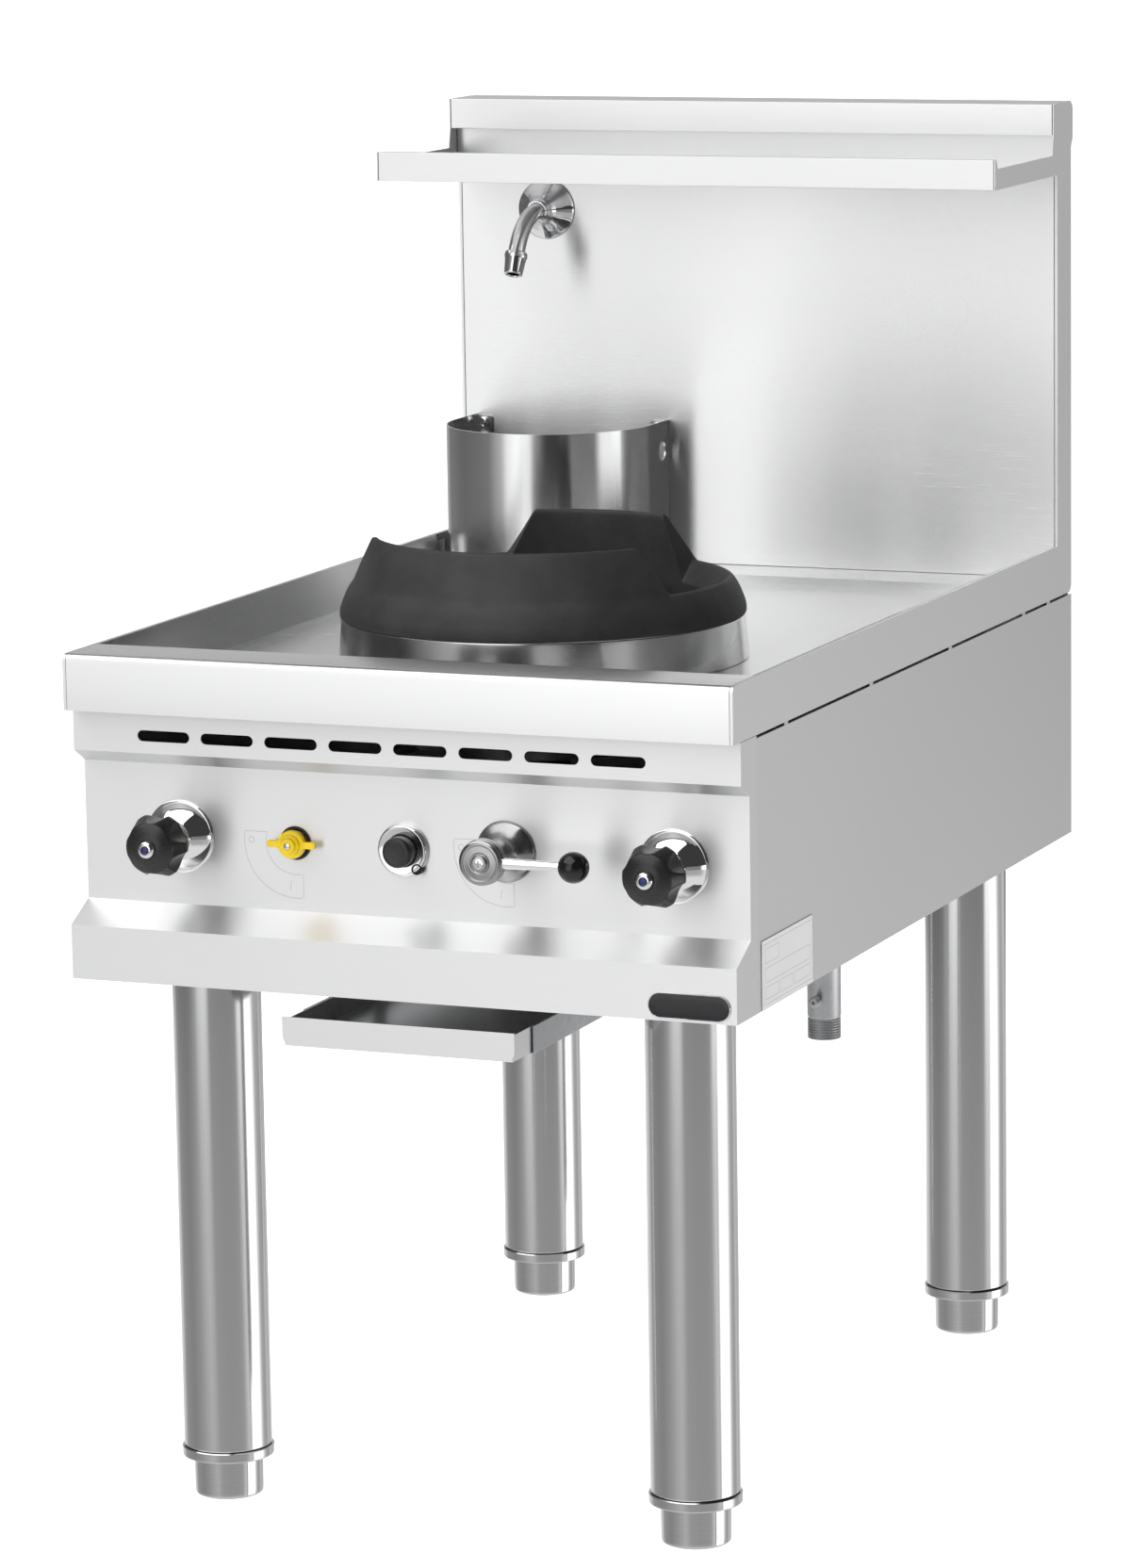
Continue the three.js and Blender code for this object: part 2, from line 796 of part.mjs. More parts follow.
// Side panel with flanges turned in at the top and bottom, and spacers under the apron.
function bodySide(side) {
  const y = [fasciaFlangeEnd + clearance, depth];
  const inner = halfWidth - panelFlange;
  const web = box(sideSpan(side, halfWidth - sheet, halfWidth), y, [bodyUnderside, sideTop]);
  const flangeY = [y[0], depth - sheet - clearance];
  const flanges = [bodyUnderside, sideTop - sheet].map((z) => box(
    sideSpan(side, inner, halfWidth - sheet / 2),
    flangeY,
    [z, z + sheet],
  ));
  const spacers = spacerPlaces.map((place) => box(
    sideSpan(side, halfWidth - sidePlateThickness, halfWidth - 0.5),
    [place, place + spacerLength],
    [sideTop - sheet / 2, apronBottom - clearance],
  ));
  return join(web, ...flanges, ...spacers);
}

// Floor of the body: open above the drip tray and round the gas inlet, with a socket for
// each leg.
function basePan() {
  const spanX = halfWidth - sheet - clearance;
  const plate = box(
    [-spanX, spanX],
    [stripFace + sheet + clearance, depth - sheet - clearance],
    [baseBottom, baseBottom + basePlate],
  );
  const through = [baseBottom - 5, baseBottom + 10];
  const openingHalf = trayWidth / 2 - panOpeningInset;
  const opening = box([-openingHalf, openingHalf], [panOpeningStart, trayLength], through);
  const inletHole = extrudeZ(circle(inletX, inletY, inletRadius + 2), through);
  const innerRadius = legRadius - legWall - clearance;
  const sockets = legPlaces.map(([, x, y]) => turned([
    [innerRadius - 2.5, baseBottom - socketLength],
    [innerRadius, baseBottom - socketLength],
    [innerRadius, baseBottom + 1],
    [innerRadius - 2.5, baseBottom + 1],
  ], 20).translate(x, y, 0));
  return join(cut(plate, opening, inletHole), ...sockets);
}

// Leg tube with its end insert: a collar, a hairline joint above it and the foot's hole.
function leg() {
  const top = baseBottom - clearance;
  const collarTop = collarBottom + collarHeight;
  return turned([
    [footStemRadius + clearance, collarBottom],
    [collarRadius - 0.6, collarBottom],
    [collarRadius, collarBottom + 0.6],
    [collarRadius, collarTop],
    [legRadius - legWall / 2, collarTop],
    [legRadius - legWall / 2, collarTop + hairline],
    [legRadius, collarTop + hairline],
    [legRadius, top],
    [legRadius - legWall, top],
    [legRadius - legWall, collarTop + 3],
    [footStemRadius + clearance, collarTop + 3],
  ], 28);
}

// Levelling foot: a tapered cup with a rounded lower edge, on a threaded stem.
function foot() {
  const low = footRadius - footTaper;
  return turned([
    [0, 0],
    [low - 3, 0],
    [low - 0.8, 0.9],
    [low, 3],
    [footRadius, footHeight],
    [footStemRadius, footHeight],
    [footStemRadius, footStemTop],
    [0, footStemTop],
  ], 24);
}

// ---------------------------------------------------------------- burner

function burnerCollar() {
  const low = troughFloor + clearance;
  const high = ringBottom - clearance;
  return turned([
    [collarBaseRadius, low],
    [collarTopRadius, high],
    [collarTopRadius - collarWall, high],
    [collarBaseRadius - collarWall, low],
  ], 64).translate(0, burnerY, 0);
}

// A fan-shaped block round the ring's axis that keeps one stretch of its tall wall.
function wallBlock([from, to], low, high) {
  const steps = 12;
  const outline = (spread, z) => [
    [0, 0, z],
    ...arc(0, 0, ringBaseRadius * 1.2, from - spread, to + spread, steps).map(([x, y]) => [x, y, z]),
  ];
  const slantPerHeight = wallEndSlant / (ringHeight - ringLowHeight);
  const spreadAt = (z) => slantPerHeight * (ringBottom + ringHeight - z);
  return slab(outline(spreadAt(low), low), outline(spreadAt(high), high));
}

// Cast-iron wok ring: a low dished ring all round, with a long tall wall in front and a
// shorter one behind.
function wokRing() {
  const z = (height) => ringBottom + height;
  const low = turned([
    [ringBoreRadius, z(0)],
    [ringBaseRadius - 1, z(0)],
    [ringBaseRadius, z(1.5)],
    [ringBaseRadius - 1, z(10)],
    [ringBaseRadius - 7, z(24)],
    [ringBaseRadius - 12, z(ringLowHeight - 1)],
    [ringBaseRadius - 15, z(ringLowHeight)],
    [ringBaseRadius - 18, z(ringLowHeight - 2)],
    [ringBoreRadius + 3, z(18)],
    [ringBoreRadius, z(15)],
  ], 56);
  const tall = turned([
    [ringBoreRadius, z(14)],
    [ringBaseRadius - 4, z(14)],
    [ringBaseRadius - 7, z(24)],
    [ringBaseRadius - 12, z(ringLowHeight - 1)],
    [ringTopRadius + 1, z(ringHeight - 2)],
    [ringTopRadius - 1, z(ringHeight)],
    [ringTopRadius - ringWallTop + 1, z(ringHeight)],
    [ringTopRadius - ringWallTop, z(ringHeight - 2)],
    [ringBoreRadius, z(20)],
  ], 56);
  const walls = [frontWallAngles, rearWallAngles].map((angles) => {
    return common(tall, wallBlock(angles, z(12), z(ringHeight + 2)));
  });
  return join(low, ...walls).translate(0, burnerY, 0);
}

// Sheet bowl that hangs by its flange in the worktop's burner hole.
function burnerBowl() {
  const flangeLow = troughFloor + clearance;
  const bowl = turned([
    [bowlRadius + bowlFlange, flangeLow],
    [bowlRadius + bowlFlange, flangeLow + bowlWall],
    [bowlRadius - bowlWall, flangeLow + bowlWall],
    [bowlFootRadius - bowlWall, bowlFloor + bowlWall],
    [bowlOpening, bowlFloor + bowlWall],
    [bowlOpening, bowlFloor],
    [bowlFootRadius, bowlFloor],
    [bowlRadius, flangeLow],
  ], 40).translate(0, burnerY, 0);
  const [x, y] = pilotTip();
  const pilotHole = extrudeZ(circle(x, y, pilotTubeRadius + 1, 12), [bowlFloor - 5, bowlFloor + 10]);
  return cut(bowl, pilotHole);
}

// Cast burner head with two rings of jets, on a flange under the bowl's floor.
function burnerHead() {
  const body = turned([
    [0, neckLow],
    [mixerRadius, neckLow],
    [mixerRadius + 4, bowlFloor - 6],
    [headFlangeRadius, bowlFloor - 5],
    [headFlangeRadius, bowlFloor - clearance],
    [headRadius, bowlFloor - clearance],
    [headRadius, headTop - 6],
    [headRadius - 6, headTop],
    [0, headTop + 4],
  ], 30);
  const jets = [];
  const bores = [];
  jetRings.forEach(([count, radius]) => {
    for (let i = 0; i < count; i += 1) {
      const [x, y] = arc(0, 0, radius, 0, (360 * i) / count, 1)[1];
      jets.push(extrudeZ(circle(x, y, jetRadius, 8), [headTop - 3, headTop + jetHeight]));
      bores.push(extrudeZ(circle(x, y, jetBore, 6), [headTop + 4, headTop + jetHeight + 1]));
    }
  });
  return cut(join(body, ...jets), ...bores).translate(0, burnerY, 0);
}

// ---------------------------------------------------------------- gas train

// Mixing tube: a flared mouth to the front, then an elbow up into the burner head.
function mixingTube() {
  const tube = pipe([
    [0, mixerMouthY + 8, controlHeight],
    [0, burnerY, controlHeight],
    [0, burnerY, neckLow - clearance],
  ], mixerBend, mixerRadius, mixerWall, 20);
  const mouth = turnedForward([
    [mixerRadius - mixerWall, -8.5],
    [mixerRadius, -8.5],
    [mixerMouthRadius, 20],
    [mixerMouthRadius - mixerWall, 20],
  ], [0, mixerMouthY + 20, controlHeight], 20);
  return join(tube, mouth);
}

// Injector pipe from the main gas valve, with the air shutter disc it is screwed through.
function injectorPipe() {
  const start = manifoldY + gasValveTail + clearance;
  const line = pipe([
    [leverX, start, leverHeight],
    [leverX, start + 24, leverHeight],
    [0, mixerMouthY - 26, controlHeight],
    [0, mixerMouthY + 8, controlHeight],
  ], 12, injectorRadius, 0, 10);
  const shutterY = [mixerMouthY - clearance - 2, mixerMouthY - clearance];
  const disc = rodY(shutterRadius, shutterY, 0, controlHeight, 28);
  const ports = [45, 135, 225, 315].map((angle) => {
    const [x, z] = arc(0, controlHeight, shutterRadius * 0.62, 0, angle, 1)[1];
    return rodY(7, [shutterY[0] - 2, shutterY[1] + 2], x, z, 12);
  });
  return join(line, cut(disc, ...ports));
}

function gasManifold() {
  return rodAlongX([pilotX - 20, inletX + 20], manifoldY, manifoldHeight, manifoldRadius);
}

function rodAlongX([x0, x1], y, z, radius) {
  return extrudeX(circle(y, z, radius, 16), [x0, x1]);
}

function gasInletPipe() {
  return pipe([
    [inletX, inletY, inletLowEnd],
    [inletX, inletY, manifoldHeight],
    [inletX, manifoldY + manifoldRadius + clearance, manifoldHeight],
  ], inletBend, inletRadius - 0.2, inletWall, 24);
}

function testNipple() {
  const face = inletY - inletRadius - clearance / 2;
  return turnedForward([
    [0, 0],
    [nippleRadius - 1, 0],
    [nippleRadius - 1, 3],
    [nippleRadius, 3],
    [nippleRadius, nippleLength - 2],
    [nippleRadius - 1.5, nippleLength],
    [0, nippleLength],
  ], [inletX, face, nippleHeight], 12);
}

// A valve behind the panel: a barrel, with a branch down to the gas manifold and a
// socket for the spindle that turns in it.
function gasValve([x, z], radius, tail, stemRadius) {
  const barrel = rodY(radius, [panelInner + clearance, manifoldY + tail], x, z, 20);
  const branch = extrudeZ(
    circle(x, manifoldY, 8, 16),
    [manifoldHeight + manifoldRadius + clearance, z],
  );
  const spindleBore = rodY(stemRadius + clearance, [panelInner - 5, panelInner + 12], x, z, 20);
  return cut(join(barrel, branch), spindleBore);
}

function mainGasValve() {
  return gasValve([leverX, leverHeight], gasValveRadius, gasValveTail, leverNeckRadius);
}

function pilotTapBody() {
  return gasValve([pilotX, controlHeight], pilotValveRadius, pilotValveTail, pilotStemRadius);
}

// Tip of the pilot burner beside the burner head, in x, y and z.
function pilotTip() {
  return [pilotTipX, burnerY - pilotTipSetback, bowlFloor + pilotTipRise];
}

function pilotBurner() {
  const start = manifoldY + pilotValveTail + clearance;
  const [x, y, top] = pilotTip();
  return pipe([
    [pilotX, start, controlHeight],
    [pilotX, start + pilotRun, controlHeight],
    [x, y, controlHeight],
    [x, y, top],
  ], pilotBend, pilotTubeRadius, 0, 10);
}

// ---------------------------------------------------------------- controls

const at = (x) => [x, panelFace, controlHeight];
const atLever = [leverX, panelFace, leverHeight];

function waterBell(x) {
  return turnedForward([
    [spindleRadius + clearance, clearance],
    [bellRadius, clearance],
    [bellRadius, 3],
    [bellRadius - 2, 9],
    [bellRadius - 6, 17],
    [bellRadius - 11, 24],
    [bellRadius - 15, bellDepth],
    [spindleRadius + clearance, bellDepth],
  ], at(x), 36);
}

// Six-lobed knob with its spindle, which turns in the valve behind the panel. It narrows
// from its lobes to a round domed face, where the flutes run out.
function waterKnob(x) {
  const back = bellDepth + knobGap;
  const front = back + knobDepth;
  const body = turnedForward([
    [0, back],
    [knobRadius - 1.2, back],
    [knobRadius, back + 1.2],
    [knobRadius, front - 20],
    [knobFaceRadius, front - 5.5],
    [knobFaceRadius - 2, front - 4],
    [knobFaceRadius - 8, front - 1.2],
    [capRadius + 1, front],
    [0, front],
  ], at(x), 36);
  const flutes = Array.from({ length: knobLobes }, (_, i) => {
    const reach = knobRadius - knobFluteDepth + knobFluteRadius;
    const [u, v] = arc(x, controlHeight, reach, 0, ((i + 0.5) * 360) / knobLobes, 1)[1];
    return rodY(knobFluteRadius, [panelFace - front - 5, panelFace - back + 5], u, v, 20);
  });
  const spindleStart = panelFace - back - 3;
  const spindleEnd = spindleStart + back + sheet + clearance + spindleGrip;
  const spindle = rodY(spindleRadius, [spindleStart, spindleEnd], x, controlHeight, 16);
  return join(cut(body, ...flutes), spindle);
}

function knobCap(x) {
  const face = bellDepth + knobGap + knobDepth + clearance / 2;
  const front = knobFront;
  return turnedForward([
    [0, face],
    [capRadius, face],
    [capRadius, front - 1.2],
    [capRadius - 1, front],
    [0, front],
  ], at(x), 24);
}

function waterValve(x) {
  const barrelSpan = [panelInner + clearance, panelInner + waterValveLength];
  const barrel = rodY(waterValveRadius, barrelSpan, x, controlHeight, 20);
  const bore = rodY(spindleRadius + clearance, [panelInner - 5, panelInner + 12], x, controlHeight, 16);
  const stub = extrudeZ(
    circle(x, waterManifoldY, 6, 12),
    [controlHeight, waterManifoldHeight - waterPipeRadius - clearance],
  );
  return cut(join(barrel, stub), bore);
}

function leverFlange() {
  return turnedForward([
    [leverNeckRadius + clearance, clearance],
    [leverBellRadius, clearance],
    [leverBellRadius, 2.5],
    [leverBellRadius - 2, 8],
    [leverBellRadius - 7, 15],
    [leverBellRadius - 12, 21],
    [leverBellRadius - 13, leverBellDepth],
    [leverNeckRadius + clearance, leverBellDepth],
  ], atLever, 32);
}

// Lever hub: neck through the flange into the valve, disc, boss, and a socket for the rod.
function leverHub() {
  const discBack = leverReach - 3 - leverHubDepth;
  const hub = turnedForward([
    [0, -sheet - 10],
    [leverNeckRadius, -sheet - 10],
    [leverNeckRadius, discBack - 6],
    [leverHubRadius - 3, discBack],
    [leverHubRadius, discBack + 2],
    [leverHubRadius, leverReach - 5],
    [leverHubRadius - 4, leverReach - 3],
    [6.5, leverReach - 2.4],
    [6.5, leverReach - 0.5],
    [5.5, leverReach],
    [0, leverReach],
  ], atLever, 32);
  const socketRadius = leverRootRadius + clearance;
  const socket = alongRod(socketRadius, socketRadius, [leverHubRadius - rodGrip, leverHubRadius + 5]);
  return cut(hub, socket);
}

// A round bar, tapered or not, that points to the right from the lever's axis.
function alongRod(rootRadius, tipRadius, [from, to]) {
  const y = panelFace - (leverReach - 3 - leverHubDepth / 2);
  return turned([[0, from], [rootRadius, from], [tipRadius, to], [0, to]], 16)
    .rotateY(Math.PI / 2)
    .translate(leverX, y, leverHeight);
}

function leverRod() {
  return alongRod(leverRootRadius, leverTipRadius, [leverHubRadius - rodGrip + clearance, leverLength - 4]);
}

function leverBall() {
  const ball = new THREE.SphereGeometry(ballRadius, 20, 12);
  ball.translate(leverX + leverLength, panelFace - (leverReach - 3 - leverHubDepth / 2), leverHeight);
  const boreRadius = leverTipRadius + clearance;
  const bore = alongRod(boreRadius + 0.3, boreRadius, [leverLength - 20, leverLength - 4 + clearance]);
  return cut(ball, bore);
}

// Butterfly handle of the pilot tap: a disc with a boss and two wings, level when shut.
function pilotTapHandle() {
  const hub = turnedForward([
    [0, -12],
    [pilotStemRadius, -12],
    [pilotStemRadius, 3],
    [pilotHubRadius, 4],
    [pilotHubRadius, 9.5],
    [pilotHubRadius - 1, 10.5],
    [pilotBossRadius, 11],
    [pilotBossRadius, pilotReach - 2],
    [pilotBossRadius - 1.5, pilotReach],
    [0, pilotReach],
  ], at(pilotX), 20);
  const wing = extrudeY(
    roundedRectangle(pilotX, controlHeight, [pilotWingSpan, pilotWingHeight], pilotWingCorner, 3),
    [panelFace - 10, panelFace - 5.5],
  );
  return join(hub, wing);
}

// Bezel with the barrel behind it, notched by the peephole at its edge.
function igniterBezel() {
  const bore = buttonRadius + clearance;
  const barrelRadius = buttonRadius + 1.8;
  const bezel = turnedForward([
    [bore, bezelDepth],
    [bezelRadius - 2.5, bezelDepth],
    [bezelRadius - 0.7, bezelDepth - 1.2],
    [bezelRadius, bezelDepth - 3],
    [bezelRadius, clearance],
    [barrelRadius, clearance],
    [barrelRadius, -40],
    [0, -40],
    [0, -32],
    [bore, -32],
  ], at(igniterX), 32);
  const span = [panelFace - bezelDepth - 5, panelFace + 5];
  return cut(bezel, rodY(peepholeRadius, span, igniterX + peepholeX, controlHeight - peepholeDrop, 20));
}

// The button's stem guides it in the bezel's barrel.
function igniterButton() {
  return turnedForward([
    [0, -32 + clearance + buttonTravel],
    [buttonRadius, -32 + clearance + buttonTravel],
    [buttonRadius, buttonReach - 2],
    [buttonRadius - 2, buttonReach],
    [buttonRadius - 6, buttonReach - 0.6],
    [0, buttonReach - 0.9],
  ], at(igniterX), 28);
}

// ---------------------------------------------------------------- water

function waterManifold() {
  const span = [waterLeftX - 2 * waterPipeRadius, supplyX + waterPipeRadius];
  const across = rodAlongX(span, waterManifoldY, waterManifoldHeight, waterPipeRadius);
  const supply = pipe([
    [supplyX, waterManifoldY, waterManifoldHeight],
    [supplyX, depth - 1, waterManifoldHeight],
  ], 1, waterPipeRadius, 0, 12);
  return join(across, supply);
}

// From the left water valve, back under the worktop and up inside the splashback.
function riserPipe() {
  const start = panelInner + waterValveLength + clearance;
  return pipe([
    [waterLeftX, start, controlHeight],
    [waterLeftX, start + 40, controlHeight],
    [tapX, start + 90, controlHeight],
    [tapX, riserY, controlHeight],
    [tapX, riserY, tapHeight],
    [tapX, splashFace - clearance, tapHeight],
  ], waterPipeBend, waterPipeRadius, 0, 12);
}

function tapEscutcheon() {
  const bore = spoutRadius + clearance;
  return turnedForward([
    [bore, clearance],
    [tapBellRadius, clearance],
    [tapBellRadius, 2.5],
    [tapBellRadius - 3, 6],
    [tapBellRadius - 11, 13],
    [tapBellRadius - 16, tapBellDepth - 4],
    [tapBellRadius - 17, tapBellDepth],
    [bore, tapBellDepth],
  ], [tapX, splashFace, tapHeight], 36);
}

// Spout: straight out of the escutcheon, then round one bend towards the trough.
function spoutEnd() {
  const turn = radians(spoutTurn);
  const start = splashFace - tapBellDepth;
  return {
    y: start - spoutBend * Math.sin(turn),
    z: tapHeight - spoutBend * (1 - Math.cos(turn)),
    turn,
  };
}

function tapSpout() {
  const start = splashFace - tapBellDepth;
  const places = [[splashFace - 2 * clearance, tapHeight, 0], [start, tapHeight, 0]];
  const steps = 8;
  for (let i = 1; i <= steps; i += 1) {
    const turn = (radians(spoutTurn) * i) / steps;
    places.push([start - spoutBend * Math.sin(turn), tapHeight - spoutBend * (1 - Math.cos(turn)), turn]);
  }
  const rings = places.map(([y, z, turn]) => [
    new THREE.Vector3(tapX, y, z),
    new THREE.Vector3(0, -Math.cos(turn), -Math.sin(turn)),
  ]);
  return toGeometry(
    toSolid(sweptRings(rings, spoutRadius, 16)).subtract(
      toSolid(sweptRings(lengthened(rings, 0.2), spoutRadius - spoutWall, 16)),
    ),
  );
}

function tapNozzle() {
  const bore = spoutRadius - spoutWall;
  const end = spoutEnd();
  const nozzle = turned([
    [bore, 0],
    [nozzleTopRadius - 1.5, 0],
    [nozzleTopRadius, 1.5],
    [nozzleTopRadius, 5],
    [nozzleTopRadius - 0.6, 5.6],
    [nozzleTipRadius, nozzleLength],
    [bore, nozzleLength],
  ], 24);
  // From along +Z to along the spout's last direction.
  nozzle.rotateX(Math.PI / 2 + end.turn);
  return nozzle.translate(
    tapX,
    end.y - Math.cos(end.turn) * clearance,
    end.z - Math.sin(end.turn) * clearance,
  );
}

// Half-round guard that stands round the waste outlet, screwed to the splash panel.
function guardOutline(inset) {
  const half = guardWidth / 2 - inset;
  const back = splashFace - clearance - inset;
  const front = splashFace - clearance - guardStraight;
  return [
    [guardX + half, back],
    [guardX - half, back],
    ...arc(guardX, front, half, 180, 360, 24),
  ];
}

function drainGuard() {
  const shell = extrudeZ(guardOutline(0), [troughFloor + clearance, guardTop], [guardOutline(sheet)]);
  const overLedge = box(
    [guardX - guardWidth, guardX + guardWidth],
    [ledgeFront - clearance, depth],
    [troughFloor - 5, ledgeTop + clearance],
  );
  const holeY = splashFace - guardHoleSetback;
  const hole = extrudeX(circle(holeY, guardTop - guardHoleDrop, guardHoleRadius, 20), [
    guardX - guardWidth,
    guardX + guardWidth,
  ]);
  return cut(shell, overLedge, hole);
}

function wastePipe() {
  const top = troughFloor - sheet - clearance;
  const level = troughFloor - wasteDrop;
  return pipe([
    [wasteX, wasteY, top],
    [wasteX, wasteY, level],
    [wasteX, depth - 1, level],
  ], wasteBend, wasteRadius, wasteWall, 16);
}

// ---------------------------------------------------------------- drip tray

function dripTray() {
  const half = trayWidth / 2;
  const top = trayFloor + trayWallHeight;
  const tub = cut(
    box([-half, half], [sheet / 2, trayLength], [trayFloor, top]),
    box([-half + sheet, half - sheet], [sheet, trayLength - sheet], [trayFloor + sheet, top + 5]),
  );
  const edge = trayFrontWidth / 2;
  const faceLow = trayFloor + 0.5;
  const face = extrudeY([
    [edge, faceLow + trayFrontHeight],
    [-edge, faceLow + trayFrontHeight],
    ...arc(-edge + trayFrontCorner, faceLow + trayFrontCorner, trayFrontCorner, 180, 270),
    ...arc(edge - trayFrontCorner, faceLow + trayFrontCorner, trayFrontCorner, 270, 360),
  ], [0, sheet]);
  return join(tub, face);
}

// Rail that the tray slides on: a web with a ledge, hung from the base by two hangers.
function trayRail(side) {
  const near = trayWidth / 2 + 2 * clearance;
  const far = near + sheet;
  const low = trayFloor - clearance - sheet;
  const web = box(sideSpan(side, near, far), [railStart, trayLength], [low, trayFloor + trayWallHeight]);
  const ledge = box(sideSpan(side, near - railLedge, far - 0.5), [railStart, trayLength], [low, low + sheet]);
  const hangers = hangerPlaces.flatMap((place) => {
    const y = [place, place + hangerWidth];
    const top = baseBottom - clearance;
    return [
      box(sideSpan(side, near, far), y, [low + 5, top]),
      box(sideSpan(side, near + 0.5, far + panelFlange), y, [top - sheet, top]),
    ];
  });
  return join(web, ledge, ...hangers);
}

// ---------------------------------------------------------------- plates

function badgePlate() {
  const face = stripFace - clearance;
  const centre = [halfWidth - badgeInset, bodyUnderside + badgeRise];
  const outline = roundedRectangle(...centre, badgeSize, badgeSize[1] / 2 - 0.01, 8);
  return extrudeY(outline, [face - badgeThickness, face]);
}

function ratingPlate() {
  const near = halfWidth + clearance;
  const low = bodyUnderside + clearance;
  return box(
    [near, near + ratingThickness],
    [ratingStart, ratingStart + ratingSize[0]],
    [low, low + ratingSize[1]],
  );
}

// ---------------------------------------------------------------- assembly

add('worktop_tray', worktopTray(), 'brushed');
add('splash_panel', splashPanel(), 'brushed');
add('rear_panel', rearPanel(), 'brushed');
add('top_band', topBand(), 'brushed');
add('shelf', shelf(), 'brushed');
add('control_fascia', controlFascia(), 'brushed');
add('base_pan', basePan(), 'galvanised');
for (const [name, side] of sides) {
  add(`side_plate_${name}`, sidePlate(side), 'brushed');
  add(`shelf_end_${name}`, shelfEnd(side), 'brushed');
  add(`body_side_${name}`, bodySide(side), 'brushed');
  add(`tray_rail_${name}`, trayRail(side), 'galvanised');
}

for (const [name, x, y] of legPlaces) {
  add(`leg_${name}`, leg().translate(x, y, 0), 'brushed');
  add(`foot_${name}`, foot().translate(x, y, 0), 'polished');
}

add('burner_collar', burnerCollar(), 'brushed');
add('wok_ring', wokRing(), 'castIron');
add('burner_bowl', burnerBowl(), 'darkSteel');
add('burner_head', burnerHead(), 'castIron');

add('mixing_tube', mixingTube(), 'castIron');
add('injector_pipe', injectorPipe(), 'brass');
add('gas_manifold', gasManifold(), 'darkSteel');
add('gas_inlet_pipe', gasInletPipe(), 'galvanised');
add('test_nipple', testNipple(), 'brass');
add('main_gas_valve', mainGasValve(), 'brass');
add('pilot_tap_body', pilotTapBody(), 'brass');
add('pilot_burner', pilotBurner(), 'brass');

for (const [name, x] of [['left', waterLeftX], ['right', waterRightX]]) {
  add(`water_bell_${name}`, waterBell(x), 'chrome');
  add(`water_knob_${name}`, waterKnob(x), 'blackPlastic');
  add(`knob_cap_${name}`, knobCap(x), 'blueDot');
  add(`water_valve_${name}`, waterValve(x), 'brass');
}
add('lever_flange', leverFlange(), 'chrome');
add('lever_hub', leverHub(), 'chrome');
add('lever_rod', leverRod(), 'chrome');
add('lever_ball', leverBall(), 'blackPlastic');
add('pilot_tap_handle', pilotTapHandle(), 'yellowPlastic');
add('igniter_bezel', igniterBezel(), 'chrome');
add('igniter_button', igniterButton(), 'blackPlastic');

add('water_manifold', waterManifold(), 'galvanised');
add('riser_pipe', riserPipe(), 'galvanised');
add('tap_escutcheon', tapEscutcheon(), 'chrome');
add('tap_spout', tapSpout(), 'chrome');
add('tap_nozzle', tapNozzle(), 'chrome');
add('drain_guard', drainGuard(), 'polished');
add('waste_pipe', wastePipe(), 'galvanised');

add('drip_tray', dripTray(), 'brushed');
add('badge_plate', badgePlate(), 'badge');
add('rating_plate', ratingPlate(), 'plate');

// The origin lies on the floor below the middle of the whole range's box.
range.position.y = -(depth + frontReach) / 2;

export default range;
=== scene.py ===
"""Looks of a single-burner gas wok range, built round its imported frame.

Metres, +Z up, +X to the right of the range and -Y to its front. Sizes of small details are in
millimetres and pass through MM. Places come from the frame's nodes wherever a node gives them.
"""
import json
import math

import bmesh
import bpy
from mathutils import Matrix, Vector


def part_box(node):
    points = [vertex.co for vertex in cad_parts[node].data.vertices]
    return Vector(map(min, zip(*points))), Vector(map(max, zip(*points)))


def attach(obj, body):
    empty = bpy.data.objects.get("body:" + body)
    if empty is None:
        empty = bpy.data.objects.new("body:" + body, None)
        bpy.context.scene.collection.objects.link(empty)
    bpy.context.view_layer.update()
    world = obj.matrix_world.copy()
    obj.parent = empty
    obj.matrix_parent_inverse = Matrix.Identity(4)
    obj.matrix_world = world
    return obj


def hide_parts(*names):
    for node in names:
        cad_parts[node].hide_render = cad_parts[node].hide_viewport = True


MM = 0.001
UP = Vector((0, 0, 1))
FORWARD = Vector((0, -1, 0))
RIGHT = Vector((1, 0, 0))

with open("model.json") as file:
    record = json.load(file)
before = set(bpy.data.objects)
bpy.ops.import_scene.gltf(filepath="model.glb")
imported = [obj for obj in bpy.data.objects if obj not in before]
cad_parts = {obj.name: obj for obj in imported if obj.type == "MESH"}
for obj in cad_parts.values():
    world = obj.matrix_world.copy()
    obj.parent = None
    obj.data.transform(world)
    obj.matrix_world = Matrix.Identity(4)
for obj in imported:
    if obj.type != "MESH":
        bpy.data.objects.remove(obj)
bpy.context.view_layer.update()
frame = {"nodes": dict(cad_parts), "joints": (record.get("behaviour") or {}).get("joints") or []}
nodes = frame["nodes"]
joint_at = {joint["name"]: joint.get("pos_m") for joint in frame["joints"]}

# ---------------------------------------------------------------- camera

PHOTO_SIZE = (1200, 1664)
FOCAL_PIXELS = 6339.0
CAMERA_AT = Vector((1.9705, -4.8462, 1.5100))
CAMERA_YAW = math.radians(22.37)
CAMERA_PITCH = math.radians(10.06)
CAMERA_ROLL = math.radians(-0.89)
FILM_HEIGHT = 36.0


